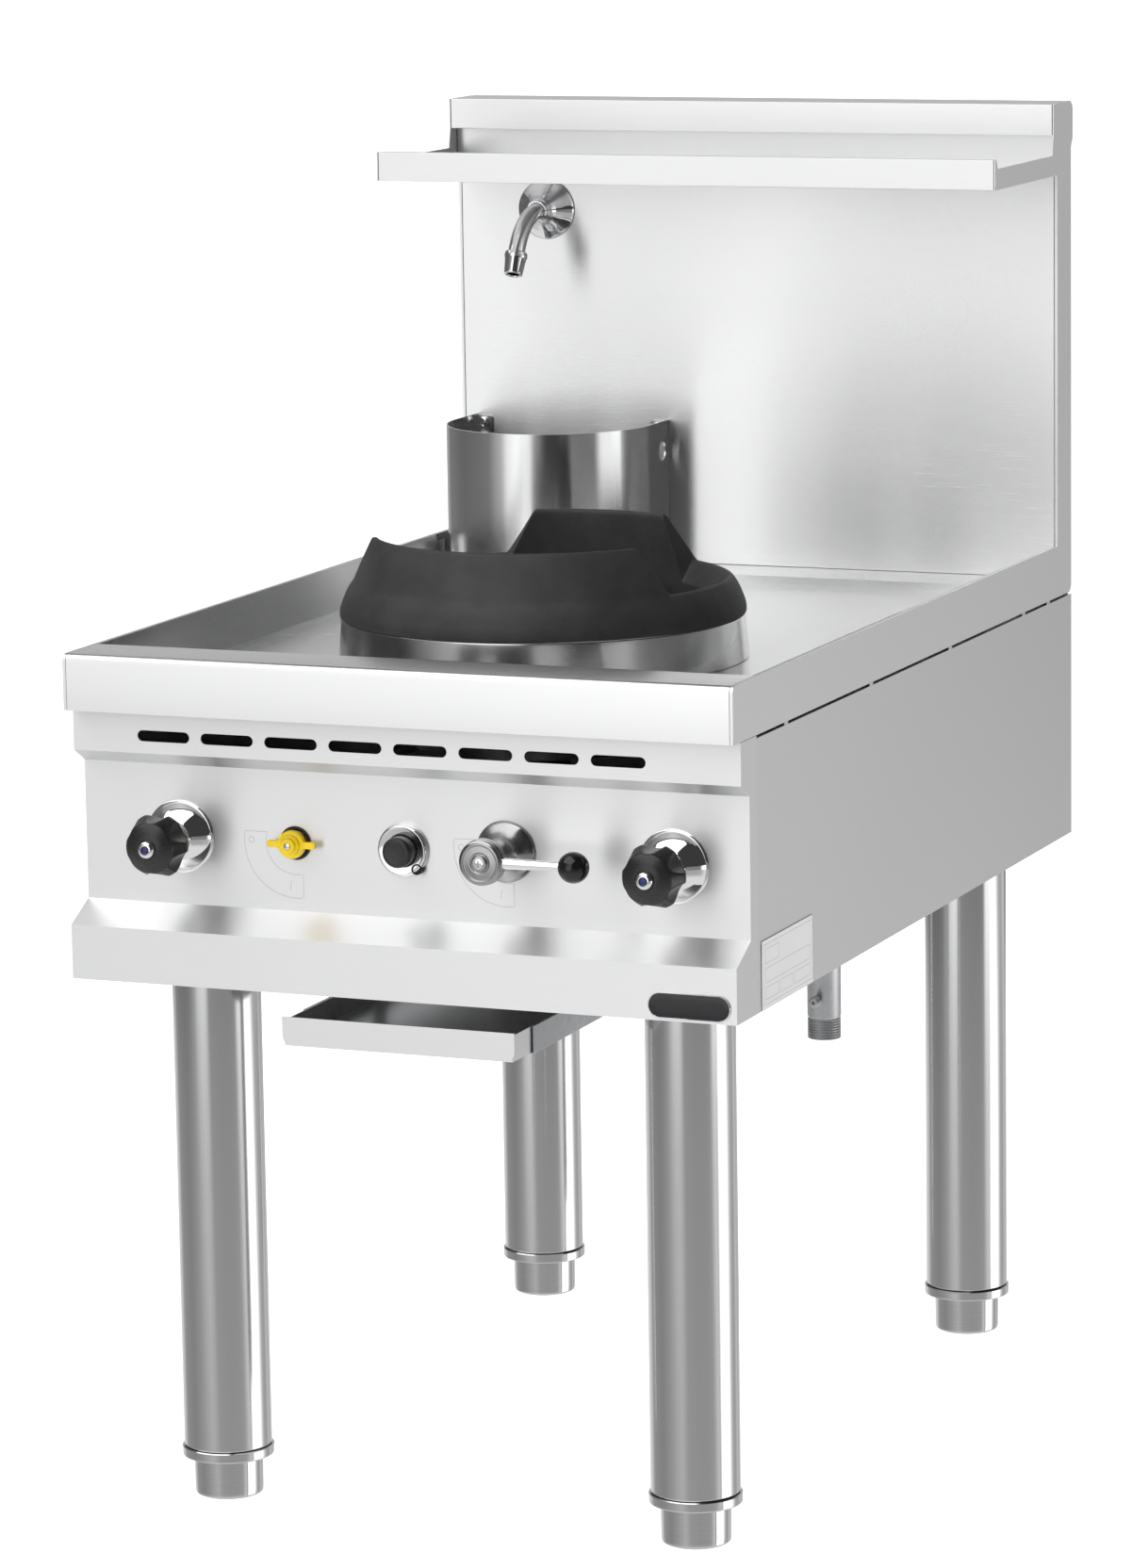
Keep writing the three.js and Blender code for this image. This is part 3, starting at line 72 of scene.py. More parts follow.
def make_camera():
    data = bpy.data.cameras.new("camera")
    data.sensor_fit = "VERTICAL"
    data.sensor_height = FILM_HEIGHT
    data.lens = FOCAL_PIXELS / PHOTO_SIZE[1] * FILM_HEIGHT
    data.clip_end = 200
    camera = bpy.data.objects.new("camera", data)
    bpy.context.scene.collection.objects.link(camera)
    level = Vector((-math.sin(CAMERA_YAW), math.cos(CAMERA_YAW), 0))
    forward = level * math.cos(CAMERA_PITCH) - UP * math.sin(CAMERA_PITCH)
    right = Vector((math.cos(CAMERA_YAW), math.sin(CAMERA_YAW), 0))
    up = right.cross(forward)
    rolled_right = right * math.cos(CAMERA_ROLL) + up * math.sin(CAMERA_ROLL)
    rolled_up = up * math.cos(CAMERA_ROLL) - right * math.sin(CAMERA_ROLL)
    facing = Matrix((rolled_right, rolled_up, -forward)).transposed()
    camera.matrix_world = Matrix.Translation(CAMERA_AT) @ facing.to_4x4()
    bpy.context.scene.camera = camera


make_camera()

# ---------------------------------------------------------------- node trees and materials


NOISE_LOW, NOISE_HIGH = 0.3, 0.7


class Tree:
    """A node tree with short calls for the nodes used here."""

    def __init__(self, owner):
        owner.use_nodes = True
        self.tree = owner.node_tree

    def feed(self, socket, value):
        """Sets a socket to a value, or links it to the output of another node."""
        if isinstance(value, bpy.types.NodeSocket):
            self.tree.links.new(value, socket)
        else:
            socket.default_value = value

    def node(self, kind, inputs, output=0, operation=None, data_type=None):
        """Adds a node, feeds its inputs by name or number, and returns one of its outputs."""
        node = self.tree.nodes.new(kind)
        if operation:
            node.operation = operation
        if data_type:
            node.data_type = data_type
        for socket, value in inputs.items():
            self.feed(node.inputs[socket], value)
        return node.outputs[output]


class Look(Tree):
    """A Principled material and the textures behind its sockets."""

    def __init__(self, name, color, roughness, metallic=0.0):
        self.material = bpy.data.materials.new(name)
        super().__init__(self.material)
        self.shader = self.tree.nodes["Principled BSDF"]
        self.coords = self.tree.nodes.new("ShaderNodeTexCoord").outputs["Object"]
        self.set("Base Color", (*color, 1))
        self.set("Roughness", roughness)
        self.set("Metallic", metallic)

    def set(self, socket, value):
        self.feed(self.shader.inputs[socket], value)

    def noise(self, scale, detail=3.0, roughness=0.55):
        """Noise in object space; scale is a number or one per axis."""
        scales = scale if isinstance(scale, tuple) else (scale,) * 3
        place = self.node("ShaderNodeMapping", {"Vector": self.coords, "Scale": scales})
        return self.node("ShaderNodeTexNoise", {"Vector": place, "Scale": 1.0, "Detail": detail,
                                                "Roughness": roughness}, "Fac")

    def remap(self, source, new_low, new_high, low=NOISE_LOW, high=NOISE_HIGH):
        """The source's usual range, stretched to new ends."""
        return self.node("ShaderNodeMapRange", {"Value": source, "From Min": low, "From Max": high,
                                                "To Min": new_low, "To Max": new_high}, "Result")

    def blend(self, factor, first, second):
        return self.node("ShaderNodeMix", {"Factor": factor, "A": (*first, 1), "B": (*second, 1)},
                         "Result", data_type="RGBA")

    def add(self, first, second):
        return self.node("ShaderNodeMath", {0: first, 1: second}, operation="ADD")

    def bump(self, height, strength, distance):
        inputs = {"Height": height, "Strength": strength, "Distance": distance}
        self.set("Normal", self.node("ShaderNodeBump", inputs, "Normal"))

    def stretch_along(self, direction):
        """Highlights stretch along this direction, square to the brushed grain."""
        self.set("Tangent", self.node("ShaderNodeCombineXYZ", dict(zip("XYZ", direction)), "Vector"))


def shades(color, spread):
    """A darker and a lighter shade of the colour."""
    return [tuple(min(1.0, channel * share) for channel in color) for share in (1 - spread, 1 + spread)]


GRAIN_PER_METRE = 2600
GRAIN_STRETCH = 36


def brushed_steel(name, grain, stretch, color, roughness, anisotropic):
    """Stainless sheet with fine scratches along the grain axis ("x", "y" or "z")."""
    look = Look(name, color, roughness, 1.0)
    along = "xyz".index(grain)
    fine = tuple(GRAIN_STRETCH if axis == along else GRAIN_PER_METRE for axis in range(3))
    soft = tuple(GRAIN_STRETCH / 2 if axis == along else GRAIN_PER_METRE / 4 for axis in range(3))
    scratches = look.noise(fine, detail=2.0)
    bands = look.noise(soft)
    cloud = look.noise(2.3)
    mixed = look.add(look.remap(scratches, 0.0, 0.6), look.remap(bands, 0.0, 0.4))
    look.set("Base Color", look.blend(mixed, *shades(color, 0.016)))
    uneven = look.add(look.remap(scratches, -0.01, 0.01), look.remap(cloud, -0.01, 0.01))
    base = look.remap(bands, roughness - 0.004, roughness + 0.004)
    look.set("Roughness", look.add(base, uneven))
    look.bump(scratches, 0.03, 0.00002)
    look.set("Anisotropic", anisotropic)
    look.stretch_along(stretch)
    return look.material


def turned_steel(name, color, roughness):
    """Polished round stock with faint rings and smears."""
    look = Look(name, color, roughness, 1.0)
    fine = look.noise((40, 40, GRAIN_PER_METRE / 3), detail=2.0)
    look.set("Base Color", look.blend(look.remap(fine, 0, 1), *shades(color, 0.03)))
    look.set("Roughness", look.remap(look.noise(18), roughness * 0.75, roughness * 1.3))
    look.bump(fine, 0.15, 0.00001)
    return look.material


def chrome_plate(name, level, roughness):
    """Plated metal: small smears in its gloss and a very shallow waviness."""
    color = (level, level, level * 1.01)
    look = Look(name, color, roughness, 1.0)
    smear = look.noise(45, detail=4.0)
    look.set("Roughness", look.remap(smear, roughness * 0.6, roughness * 1.6, low=0.35))
    look.set("Base Color", look.blend(smear, *shades(color, 0.03)))
    look.bump(look.noise(160, detail=2.0), 0.03, 0.0001)
    return look.material


def cast_iron():
    """Sand-cast iron with a dull enamel: fine pits, small lumps and uneven sheen."""
    look = Look("cast_iron", (0.046, 0.046, 0.048), 0.6)
    grit = look.noise(1500, detail=4.0, roughness=0.7)
    lumps = look.noise(260)
    worn = look.remap(look.noise(28, detail=4.0), 0, 1, low=0.35)
    look.set("Base Color", look.blend(worn, (0.038, 0.038, 0.04), (0.056, 0.056, 0.058)))
    look.set("Roughness", look.remap(grit, 0.48, 0.66))
    look.bump(look.add(grit, look.remap(lumps, 0.0, 1.2)), 0.45, 0.00018)
    return look.material


def plastic(name, color, roughness, grain=900, depth=0.00003):
    """Moulded plastic or enamel with a fine tooth."""
    look = Look(name, color, roughness)
    fine = look.noise(grain)
    look.set("Base Color", look.blend(look.noise(60), *shades(color, 0.18)))
    look.set("Roughness", look.remap(fine, roughness - 0.06, roughness + 0.06))
    look.bump(fine, 0.25, depth)
    return look.material


def plain_metal(name, color, roughness):
    """Pipework and inner sheet: dull metal with spots and stains."""
    look = Look(name, color, roughness, 1.0)
    spots = look.noise(140, detail=5.0, roughness=0.65)
    stained = look.remap(look.add(spots, look.noise(12)), 0, 1, 0.7, 1.3)
    look.set("Base Color", look.blend(stained, *shades(color, 0.16)))
    look.set("Roughness", look.remap(spots, roughness - 0.08, roughness + 0.08))
    look.bump(spots, 0.2, 0.00008)
    return look.material


def blank_foil():
    """Matt foil of the blank rating plate, with a faint tooth."""
    look = Look("blank_plate", (0.88, 0.88, 0.89), 0.45)
    tooth = look.noise(1400, detail=2.0)
    look.set("Base Color", look.blend(look.noise(20), (0.86, 0.86, 0.87), (0.9, 0.9, 0.91)))
    look.set("Roughness", look.remap(tooth, 0.38, 0.5))
    look.bump(tooth, 0.1, 0.00002)
    return look.material


STEEL = (0.86, 0.862, 0.865)
VERTICAL = (0, 0, 1)
FRONT_AND_TOP = (0, 1, 1)

steel_front = brushed_steel("steel_front", "x", VERTICAL, STEEL, 0.36, 0.8)
steel_top = brushed_steel("steel_top", "x", FRONT_AND_TOP, STEEL, 0.26, 0.7)
steel_splash = brushed_steel("steel_splash", "x", VERTICAL, STEEL, 0.26, 0.95)
steel_side = brushed_steel("steel_side", "y", VERTICAL, (0.79, 0.792, 0.796), 0.32, 0.9)
steel_edge = brushed_steel("steel_edge", "y", VERTICAL, STEEL, 0.34, 0.7)
steel_shelf = brushed_steel("steel_shelf", "x", FRONT_AND_TOP, STEEL, 0.32, 0.7)
# The legs' steel is a darker copy of the sheet steel: painted shade that stands in for the dimmer reflections
# on the legs.
steel_leg_painted_shade = brushed_steel("steel_leg_painted_shade", "z", VERTICAL, (0.68, 0.682, 0.686), 0.14, 0.0)
steel_guard = brushed_steel("steel_guard", "x", VERTICAL, (0.82, 0.822, 0.826), 0.18, 0.9)
steel_collar = turned_steel("steel_collar", (0.83, 0.832, 0.836), 0.1)
steel_foot = turned_steel("steel_foot", (0.68, 0.682, 0.686), 0.08)
chrome = chrome_plate("chrome", 0.9, 0.04)
chrome_dull = chrome_plate("chrome_dull", 0.42, 0.2)
iron = cast_iron()
black = plastic("black_plastic", (0.016, 0.016, 0.017), 0.3)
ball_black = plastic("ball_black", (0.008, 0.008, 0.009), 0.12, 200, 0.00001)
yellow = plastic("yellow_plastic", (0.86, 0.6, 0.0), 0.38)
blue = plastic("blue_plastic", (0.022, 0.026, 0.11), 0.12, 300, 0.00001)
brass = plain_metal("brass", (0.66, 0.5, 0.22), 0.32)
zinc = plain_metal("galvanised_steel", (0.6, 0.61, 0.62), 0.42)
tray_steel = brushed_steel("tray_steel", "x", FRONT_AND_TOP, STEEL, 0.3, 0.5)
plate_foil = blank_foil()
badge_black = plastic("badge_black", (0.012, 0.012, 0.014), 0.16, 300, 0.00001)
# Dark colour of the legs' joint lines, and painted shade in the gap of the pilot tap's hole.
dark_joint_and_painted_gap_shade = plastic("dark_joint_and_painted_gap_shade", (0.03, 0.03, 0.032), 0.6)
# Near-black colour of the plug that paints the shade inside the peephole.
painted_peephole_shade = plastic("painted_peephole_shade", (0.008, 0.008, 0.008), 0.5)
engraving = plastic("engraving", (0.42, 0.42, 0.425), 0.6)

# ---------------------------------------------------------------- carried-over nodes

NODE_LOOKS = (
    (steel_top, ("worktop_tray",)),
    (steel_splash, ("splash_panel", "rear_panel")),
    (steel_shelf, ("top_band", "shelf")),
    (steel_front, ("control_fascia",)),
    (steel_edge, ("side_plate_left", "side_plate_right", "shelf_end_left", "shelf_end_right")),
    (steel_side, ("body_side_left", "body_side_right")),
    (tray_steel, ("drip_tray",)),
    (plate_foil, ("rating_plate",)),
    (iron, ("burner_head", "mixing_tube")),
    (brass, ("injector_pipe", "main_gas_valve", "pilot_tap_body", "pilot_burner", "water_valve_left",
             "water_valve_right")),
    (zinc, ("base_pan", "tray_rail_left", "tray_rail_right", "burner_bowl", "gas_manifold",
            "water_manifold", "riser_pipe", "waste_pipe")),
)
WELD_DISTANCE = 0.01 * MM
EDGE_ROUNDING = 0.5 * MM
FINE_EDGE_ROUNDING = {"control_fascia": 0.2 * MM}
SMOOTH_BELOW = math.radians(32)


def dress_node(name, material):
    """Gives a CAD node its look and rounds its edges a little."""
    piece = nodes[name]
    mesh = piece.data
    for stored in ("custom_normal", "sharp_edge", "sharp_face"):
        if stored in mesh.attributes:
            mesh.attributes.remove(mesh.attributes[stored])
    mesh.materials.clear()
    mesh.materials.append(material)
    mesh.shade_smooth()
    weld = piece.modifiers.new("weld", "WELD")
    weld.merge_threshold = WELD_DISTANCE
    bevel = piece.modifiers.new("bevel", "BEVEL")
    bevel.width = FINE_EDGE_ROUNDING.get(name, EDGE_ROUNDING)
    bevel.segments = 2
    bevel.limit_method = "ANGLE"
    bevel.angle_limit = SMOOTH_BELOW
    bevel.harden_normals = True


for node_look, node_names in NODE_LOOKS:
    for node_name in node_names:
        dress_node(node_name, node_look)

# ---------------------------------------------------------------- shape building


def centre_and_half(node):
    low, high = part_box(node)
    return (low + high) / 2, (high - low) / 2


def new_piece(name, verts, faces, material, slot, body="range", replaces=(), smooth=SMOOTH_BELOW):
    """Makes a closed mesh piece, rounds its shading, and ties it to the frame."""
    mesh = bpy.data.meshes.new(name)
    build = bmesh.new()
    points = [build.verts.new(v) for v in verts]
    for face in faces:
        build.faces.new([points[i] for i in face])
    bmesh.ops.remove_doubles(build, verts=build.verts, dist=1e-7)
    bmesh.ops.dissolve_degenerate(build, edges=build.edges, dist=1e-8)
    bmesh.ops.recalc_face_normals(build, faces=build.faces)
    build.to_mesh(mesh)
    build.free()
    mesh.shade_smooth()
    mesh.set_sharp_from_angle(angle=smooth)
    mesh.materials.append(material)
    piece = bpy.data.objects.new(name, mesh)
    bpy.context.scene.collection.objects.link(piece)
    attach(piece, body)
    if replaces:
        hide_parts(*replaces)
    return piece


def towards(start, end, reach):
    """The point that lies `reach` from the start, or 0.45 of the way where that is nearer."""
    gap = math.dist(start, end)
    share = min(reach, 0.45 * gap) / gap if gap else 0
    return tuple(a + (b - a) * share for a, b in zip(start, end))


def eased(points, ease, closed=False, steps=4):
    """The outline with each corner rounded over `ease` on both sides."""
    result = []
    for i, here in enumerate(points):
        if not closed and i in (0, len(points) - 1):
            result.append(tuple(here))
            continue
        before = towards(here, points[i - 1], ease)
        after = towards(here, points[(i + 1) % len(points)], ease)
        for k in range(steps + 1):
            t = k / steps
            result.append(tuple(
                (1 - t) ** 2 * a + 2 * t * (1 - t) * h + t * t * b
                for a, h, b in zip(before, here, after)
            ))
    return result


def strip_faces(rows, closed_rows, closed_along):
    """Quads between rows of equal length; rows is a list of index lists."""
    faces = []
    last = len(rows) if closed_along else len(rows) - 1
    for i in range(last):
        row, following = rows[i], rows[(i + 1) % len(rows)]
        count = len(row) if closed_rows else len(row) - 1
        for k in range(count):
            j = (k + 1) % len(row)
            faces.append((row[k], row[j], following[j], following[k]))
    return faces


BRACE = 0.5


def braced(profile, closed):
    """The profile with a point close to each end of its long straight spans, so that the
    rounding of a corner's shading doesn't spread over the span."""
    result = []
    count = len(profile)
    for i, here in enumerate(profile):
        result.append(here)
        if i == count - 1 and not closed:
            break
        following = profile[(i + 1) % count]
        gap = math.dist(here, following)
        if gap > 6 * BRACE:
            result.append(towards(here, following, BRACE))
            result.append(towards(following, here, BRACE))
    return result


def arc(across, up, start, end, steps, centre=(0, 0)):
    """Points along an arc of an ellipse with these half axes, both ends included."""
    turns = [start + (end - start) * k / steps for k in range(steps + 1)]
    return [(centre[0] + across * math.cos(turn), centre[1] + up * math.sin(turn)) for turn in turns]


def circle(radius, steps):
    return arc(radius, radius, 0, 2 * math.pi, steps)[:-1]


def lofted(name, rings, material, slot, closed_rings=True, closed_along=False, **tie):
    """A skin over rings of points. Where it doesn't close along its length, its ends are capped."""
    size = len(rings[0])
    rows = [range(i * size, (i + 1) * size) for i in range(len(rings))]
    faces = strip_faces(rows, closed_rings, closed_along)
    if not closed_along:
        faces += [tuple(rows[0]), tuple(reversed(rows[-1]))]
    return new_piece(name, [point for ring in rings for point in ring], faces, material, slot, **tie)


def turned(name, profile, at, axis, material, slot, steps=96, closed=False, **tie):
    """A turned piece: profile is (radius, height) in millimetres along the axis from `at`."""
    profile = braced(profile, closed)
    turn = UP.rotation_difference(axis).to_matrix()
    rings = [[at + turn @ (Vector((radius * c, radius * s, height)) * MM) for radius, height in profile]
             for c, s in circle(1, steps)]
    return lofted(name, rings, material, slot, closed, True, **tie)


def sweep(name, path, section, material, slot, closed=False, **tie):
    """A section of (side, up) pairs, carried along a path of (point, side, up) frames."""
    rings = [[point + side * u + up * v for u, v in section] for point, side, up in path]
    return lofted(name, rings, material, slot, True, closed, **tie)


# ---------------------------------------------------------------- legs and feet

LEGS = ("front_left", "front_right", "rear_left", "rear_right")
LEG_RADIUS = 38.1
LEG_COLLAR_RADIUS = 39.8
LEG_COLLAR_HEIGHT = 8.5
LEG_HAIRLINE = 0.9
LEG_SLEEVE_BORE = 26.0


def make_leg(name):
    node = "leg_" + name
    low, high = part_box(node)
    centre, _ = centre_and_half(node)
    base = Vector((centre.x, centre.y, low.z))
    top = (high.z - low.z) / MM
    band = LEG_COLLAR_HEIGHT
    outline = [
        (LEG_SLEEVE_BORE, 0),
        (LEG_COLLAR_RADIUS - 0.2, 0),
        (LEG_COLLAR_RADIUS, 1),
        (LEG_COLLAR_RADIUS, band - 0.8),
        (LEG_COLLAR_RADIUS - 0.8, band),
        (LEG_RADIUS - 1.2, band),
        (LEG_RADIUS - 1.2, band + LEG_HAIRLINE),
        (LEG_RADIUS - 0.3, band + LEG_HAIRLINE),
        (LEG_RADIUS, band + LEG_HAIRLINE + 0.5),
        (LEG_RADIUS, top),
        (LEG_RADIUS - 1.5, top),
        (LEG_RADIUS - 1.5, band + 3),
        (LEG_SLEEVE_BORE, band + 3),
    ]
    turned("leg_tube_" + name, outline, base, UP, steel_leg_painted_shade, "brushed_stainless",
           steps=128, closed=True, replaces=(node,))
    hairline = [
        (LEG_RADIUS - 1.4, band + 0.05),
        (LEG_RADIUS - 0.9, band + 0.05),
        (LEG_RADIUS - 0.9, band + LEG_HAIRLINE - 0.05),
        (LEG_RADIUS - 1.4, band + LEG_HAIRLINE - 0.05),
    ]
    turned("leg_joint_" + name, hairline, base, UP, dark_joint_and_painted_gap_shade, "black_plastic", closed=True)


FOOT_HEIGHT = 35.2
FOOT_STEM_RADIUS = 8


def make_foot(name):
    node = "foot_" + name
    centre, half = centre_and_half(node)
    radius = half.x / MM
    outline = eased([
        (0, 0),
        (radius - 2.4, 0),
        (radius - 0.5, 1.4),
        (radius - 0.3, 6),
        (radius, FOOT_HEIGHT - 1.2),
        (radius - 1.0, FOOT_HEIGHT),
        (FOOT_STEM_RADIUS, FOOT_HEIGHT),
        (FOOT_STEM_RADIUS, 2 * half.z / MM),
        (0, 2 * half.z / MM),
    ], 1.2)
    base = Vector((centre.x, centre.y, 0))
    turned("levelling_foot_" + name, outline, base, UP, steel_foot, "polished_stainless",
           body=name + "_foot", replaces=(node,))


for leg_name in LEGS:
    make_leg(leg_name)
    make_foot(leg_name)

# ---------------------------------------------------------------- wok ring and collar

RING_BORE = 142.0
RING_HEIGHT = 72.0
LOW_HEIGHT = 32.0
WALL_OUTER_FOOT = 165.0
WALL_OUTER_TOP = 149.0
WALL_INNER_TOP = 143.2
WALL_SPANS = ((211.0, 325.0), (65.0, 115.0))
WALL_SLANT = 8.5 / (RING_HEIGHT - LOW_HEIGHT)
EDGE_BLEND = 3.0


def smooth_min(a, b, width):
    share = max(width - abs(a - b), 0) / width
    return min(a, b) - share * share * width / 4


def smooth_max(a, b, width):
    return -smooth_min(-a, -b, width)


def ring_height(wall, dish, angle):
    """Height of the ring's upper side: its dish, or its tall wall cut by slanted ends."""
    best = -1000.0
    for start, end in WALL_SPANS:
        beyond = max(start - angle, angle - end)
        best = max(best, RING_HEIGHT - beyond / WALL_SLANT)
    cut = smooth_min(wall, best, EDGE_BLEND) if best < RING_HEIGHT + 40 else wall
    return smooth_max(dish, cut, EDGE_BLEND) if cut > dish - EDGE_BLEND else dish


def ring_samples():
    """(radius, wall height, dish height) across the ring's upper side, from outside in."""
    samples = []
    slope = 26
    for i in range(slope + 1):
        t = i / slope
        radius = WALL_OUTER_FOOT + (WALL_OUTER_TOP - WALL_OUTER_FOOT) * t
        wall = LOW_HEIGHT - 1.5 + (RING_HEIGHT - 1.2 - LOW_HEIGHT + 1.5) * t
        samples.append((radius, wall))
    samples += [
        (WALL_OUTER_TOP - 0.6, RING_HEIGHT - 0.5),
        (WALL_OUTER_TOP - 1.6, RING_HEIGHT),
        (WALL_INNER_TOP + 1.8, RING_HEIGHT),
        (WALL_INNER_TOP + 0.8, RING_HEIGHT - 0.5),
        (WALL_INNER_TOP, RING_HEIGHT - 1.6),
        (WALL_INNER_TOP - 0.3, RING_HEIGHT - 4),
    ]
    inner = 14
    for i in range(1, inner + 1):
        t = i / inner
        radius = WALL_INNER_TOP - 0.3 + (RING_BORE + 0.02 - WALL_INNER_TOP + 0.3) * t
        samples.append((radius, RING_HEIGHT - 4 + (17 - RING_HEIGHT + 4) * t))
    return [(radius, wall, dish_height(radius)) for radius, wall in samples]


def dish_height(radius):
    """The low ring's conical top, with a rounded outer rim."""
    rim = LOW_HEIGHT - 0.085 * (radius - 161.0) ** 2 if radius > 161 else LOW_HEIGHT
    cone = 15.0 + (radius - RING_BORE) * 0.92
    return smooth_min(rim, cone, 2.5)


def ring_angles():
    """Sampling angles, closer together where a wall ends."""
    angles = set(float(a) for a in range(0, 360, 2))
    for start, end in WALL_SPANS:
        for k in range(-8, 61):
            angles.add(round(start - 0.25 * k, 3))
            angles.add(round(end + 0.25 * k, 3))
    return sorted(a % 360 for a in angles)


def make_wok_ring():
    centre, _ = centre_and_half("wok_ring")
    base = Vector((centre.x, centre.y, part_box("wok_ring")[0].z))
    outside = eased([
        (174.6, 0),
        (177.0, 0.9),
        (176.4, 8.5),
        (170.6, 23.0),
        (WALL_OUTER_FOOT + 1.2, 29.4),
    ], 5.0)
    outside[0] = (174.6, 0)
    samples = ring_samples()
    inside = [(RING_BORE, 13.0), (RING_BORE, 1.2), (RING_BORE + 1.2, 0)]
    rings = []
    for angle in ring_angles():
        direction = Vector((math.cos(math.radians(angle)), math.sin(math.radians(angle)), 0))
        top = [(radius, ring_height(wall, dish, angle)) for radius, wall, dish in samples]
        rings.append([base + direction * radius * MM + UP * height * MM
                      for radius, height in outside + top + inside])
    lofted("wok_ring_casting", rings, iron, "cast_iron", True, True,
           body="ring", replaces=("wok_ring",), smooth=math.radians(60))


def make_collar():
    centre, half = centre_and_half("burner_collar")
    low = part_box("burner_collar")[0].z
    base = Vector((centre.x, centre.y, low))
    height = 2 * half.z / MM
    outer = half.x / MM
    profile = eased([
        (outer, 0),
        (outer - 3.0, height),
        (outer - 5.0, height),
        (outer - 2.0, 0),
    ], 0.5, closed=True)
    turned("burner_collar_sheet", profile, base, UP, steel_collar, "brushed_stainless",
           steps=180, closed=True, replaces=("burner_collar",))


make_wok_ring()
make_collar()

# ---------------------------------------------------------------- controls

PANEL_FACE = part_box("water_bell_left")[1].y + 0.3 * MM


def on_panel(x, z):
    return Vector((x, PANEL_FACE, z))


BELL_FLANGE = 2.2
BELL_FOOT = 2.4
BELL_FILLET = 4.0
BELL_RIM_SLOPE = math.radians(54)


def dome(flange, neck, depth, bore):
    """Bell profile: a thin flange, a spherical cap, a fillet and a neck, from the panel outward."""
    sphere = (flange - BELL_FLANGE) / math.sin(BELL_RIM_SLOPE)
    centre = BELL_FOOT - sphere * math.cos(BELL_RIM_SLOPE)
    fillet_at = neck + BELL_FILLET
    last = math.asin(fillet_at / (sphere + BELL_FILLET))
    fillet_height = centre + (sphere + BELL_FILLET) * math.cos(last)
    cap = arc(sphere, sphere, math.pi / 2 - BELL_RIM_SLOPE, math.pi / 2 - last, 24, (0, centre))
    fillet = arc(BELL_FILLET, BELL_FILLET, -math.pi / 2 - last, -math.pi, 8, (fillet_at, fillet_height))
    rim = [(bore, 0.3), (flange - 0.5, 0.3), (flange, 0.8), (flange, 1.5), (flange - 0.6, 2.0)]
    return rim + cap + fillet[1:] + [(neck, depth - 0.6), (neck - 0.8, depth), (bore, depth)]


KNOB_RADIUS = 27.3
KNOB_FACE_RADIUS = 21.5
KNOB_BACK = 31.0
KNOB_LENGTH = 35.5
KNOB_CONE_START = 20.0
KNOB_CONE_END = 5.5
KNOB_LOBES = 6
KNOB_FLUTE_RADIUS = 13.0
KNOB_FLUTE_DEPTH = 6.1
KNOB_FLUTE_AT = math.radians(90)
KNOB_EDGE_BLEND = 1.4
SPINDLE_RADIUS = 5.0
BELL_RADIUS = 31.0
BELL_NECK = 14.0
BELL_DEPTH = 30.0
CAP_RADIUS = 7.8
CAP_RING_RADIUS = 7.3
CAP_DEPTH = 3.5
CAP_WINDOW_RADIUS = 3.9
DOT_RADIUS = 3.6


def knob_reach(radius, angle):
    """The profile's radius at this angle, or the wall of the flute that cuts into it."""
    pitch = 2 * math.pi / KNOB_LOBES
    offset = (angle - KNOB_FLUTE_AT + pitch / 2) % pitch - pitch / 2
    axis = KNOB_RADIUS - KNOB_FLUTE_DEPTH + KNOB_FLUTE_RADIUS
    across = axis * math.sin(offset)
    if abs(across) >= KNOB_FLUTE_RADIUS:
        return radius
    wall = axis * math.cos(offset) - math.sqrt(KNOB_FLUTE_RADIUS ** 2 - across ** 2)
    return smooth_min(radius, wall, KNOB_EDGE_BLEND)


def knob_surface(name, x, z, body, node):
    """Six-lobed knob, narrowing to a round domed face where its flutes run out."""
    back, front = KNOB_BACK, KNOB_BACK + KNOB_LENGTH
    outline = eased([
        (SPINDLE_RADIUS, back - 8),
        (SPINDLE_RADIUS, back),
        (KNOB_RADIUS - 8.0, back),
        (KNOB_RADIUS - 3.8, back + 4.0),
        (KNOB_RADIUS - 1.2, back + 9.0),
        (KNOB_RADIUS, back + 13.0),
        (KNOB_RADIUS, front - KNOB_CONE_START),
        (KNOB_FACE_RADIUS, front - KNOB_CONE_END),
        (KNOB_FACE_RADIUS - 2.2, front - 4.0),
        (KNOB_FACE_RADIUS - 8, front - 1.2),
        (CAP_RADIUS + 0.9, front),
        (CAP_RADIUS + 0.1, front - 1.0),
        (0, front - 1.0),
    ], 2.0, steps=5)
    outline.insert(0, (0, back - 8))
    profile = []
    for here, following in zip(outline, outline[1:]):
        cuts = max(1, int(math.dist(here, following) / 0.8))
        profile += [tuple(a + (b - a) * k / cuts for a, b in zip(here, following)) for k in range(cuts)]
    profile.append(outline[-1])
    at = on_panel(x, z)
    steps = 180
    rings = []
    for i in range(steps):
        angle = 2 * math.pi * i / steps
        out = RIGHT * math.cos(angle) + UP * math.sin(angle)
        rings.append([at + out * knob_reach(radius, angle) * MM + FORWARD * height * MM
                      for radius, height in profile])
    lofted(name, rings, black, "black_plastic", False, True,
           body=body, replaces=(node,), smooth=math.radians(50))


